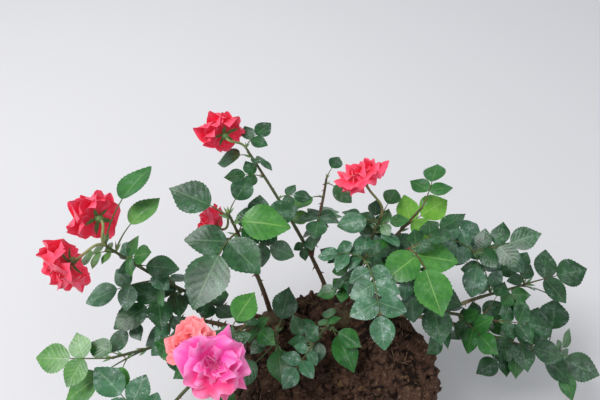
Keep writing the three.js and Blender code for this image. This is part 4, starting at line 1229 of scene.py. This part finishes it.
# The pieces: each kind joined, in the colours that its sprays take.
make_piece("root_ball_soil", [ball_skin()], "damp soil", ["root_ball"])
make_piece("soil_clods", [stones(**CLODS)], "damp soil")
make_piece("soil_pebbles", [stones(**PEBBLES)], "pebble")
make_piece("fine_roots", [root_tubes(**ROOTS)], "fine root")
make_piece("dry_straws", [root_tubes(**STRAWS)], "fine root")
for i, (name, place) in enumerate(KNUCKLES.items()):
    make_piece(name + "_knuckle_wood", [knuckle_skin(place, SEED.knuckles + 10 * i)], "bark",
               [name + "_knuckle"])
for bark in ("bark", "pale_bark"):
    those = [s for s in SHOOTS if s.bark == bark]
    make_piece("canes_" + bark,
               [stem_tube(curves[s.name], 0, s.bare, CANE, s.seed) for s in those],
               bark.replace("_", " "), [s.name + "_cane" for s in those])
make_piece("green_stems", [
    stem_tube(curves[s.name], s.bare, 1, SHOOT, SEED.green_stems + s.seed) for s in SHOOTS],
    "green stem", [s.name + "_shoot" for s in SHOOTS])
make_piece("bloom_stalks", [
    stem_tube(pedicel_curve(curves[s.name], b), 0, 1, PEDICEL, SEED.bloom_stalks + s.seed)
    for s in SHOOTS for b in s.blooms], "bloom stalk")
make_piece("prickles", [
    prickles(curves[s.name], 0.12, s.bare, CANE, s.seed) for s in SHOOTS] + [
    prickles(curves[s.name], s.bare, 0.96, SHOOT, SEED.green_prickles + s.seed)
    for s in SHOOTS], "prickle")

all_leaves = [leaf for s in SHOOTS for leaf in leaves_of[s.name]]
make_piece("leaf_stalks", [stalk_tubes(all_leaves)], "leaf stalk")
make_piece("stipules", stipules(all_leaves), "leaf fresh green")
for i, tint in enumerate(("deep", "mid", "dusty", "fresh", "young", "light")):
    those = [leaf.blades for leaf in all_leaves if leaf.tint == tint]
    blades = {key: np.concatenate([leaf[key] for leaf in those]) for key in BLADE_KEYS}
    blades["span"] *= BLADE_SIZE.get(tint, 1.0)
    skin = leaflet_sheets(**blades, seed=SEED.leaves + i, point=BLADE_POINT.get(tint, BLADE.point))
    make_piece("leaves_" + tint, [skin], f"leaf {tint} green")

blooms = [b for s in SHOOTS for b in s.blooms]
for colour, habit in HABIT.items():
    make_piece("petals_" + colour, [petal_sheets(b, SEED.petals + i) for i, b in enumerate(blooms)
                                    if b.colour == colour], habit.look)
make_piece("hips", [hip_tube(b) for b in blooms], "calyx")
make_piece("sepals", [sepal_sheets(b, SEED.sepals + i) for i, b in enumerate(blooms)], "calyx")

# A plain pale floor and soft studio light.
floor_surface = Surface("floor")
floor_surface.put((226, 225, 227), floor_surface.shader["Base Color"])
floor_surface.put(0.8, floor_surface.shader["Roughness"])
floor_mesh = bpy.data.meshes.new("floor")
floor_mesh.from_pydata([(-3, -3, 0), (3, -3, 0), (3, 3, 0), (-3, 3, 0)], [], [(0, 1, 2, 3)])
floor_mesh.materials.append(materials["floor"])
floor = add_object("floor", floor_mesh)

scene.view_settings.view_transform = "Standard"
world = bpy.data.worlds.new("soft light")
world.use_nodes = True
sky = world.node_tree.nodes["Background"].inputs
sky["Color"].default_value = tone((236, 240, 246))
sky["Strength"].default_value = 0.49
scene.world = world


def soft_lamp(name, place, target, width, power):
    """A square area lamp that faces a point."""
    lamp = add_object(name, bpy.data.lights.new(name, "AREA"))
    lamp.data.size = width
    lamp.data.energy = power
    lamp.location = place
    x, y, z = np.array(target) - np.array(place)
    lamp.rotation_euler = (math.atan2(math.hypot(x, y), -z), 0, math.atan2(-x, y))


soft_lamp("key_lamp", place=(-0.9, 0.1, 1.8), target=(0, 0, 0.15), width=0.9, power=26)
soft_lamp("fill_lamp", place=(1.1, -0.7, 1.5), target=(0, 0, 0.15), width=1.4, power=6)
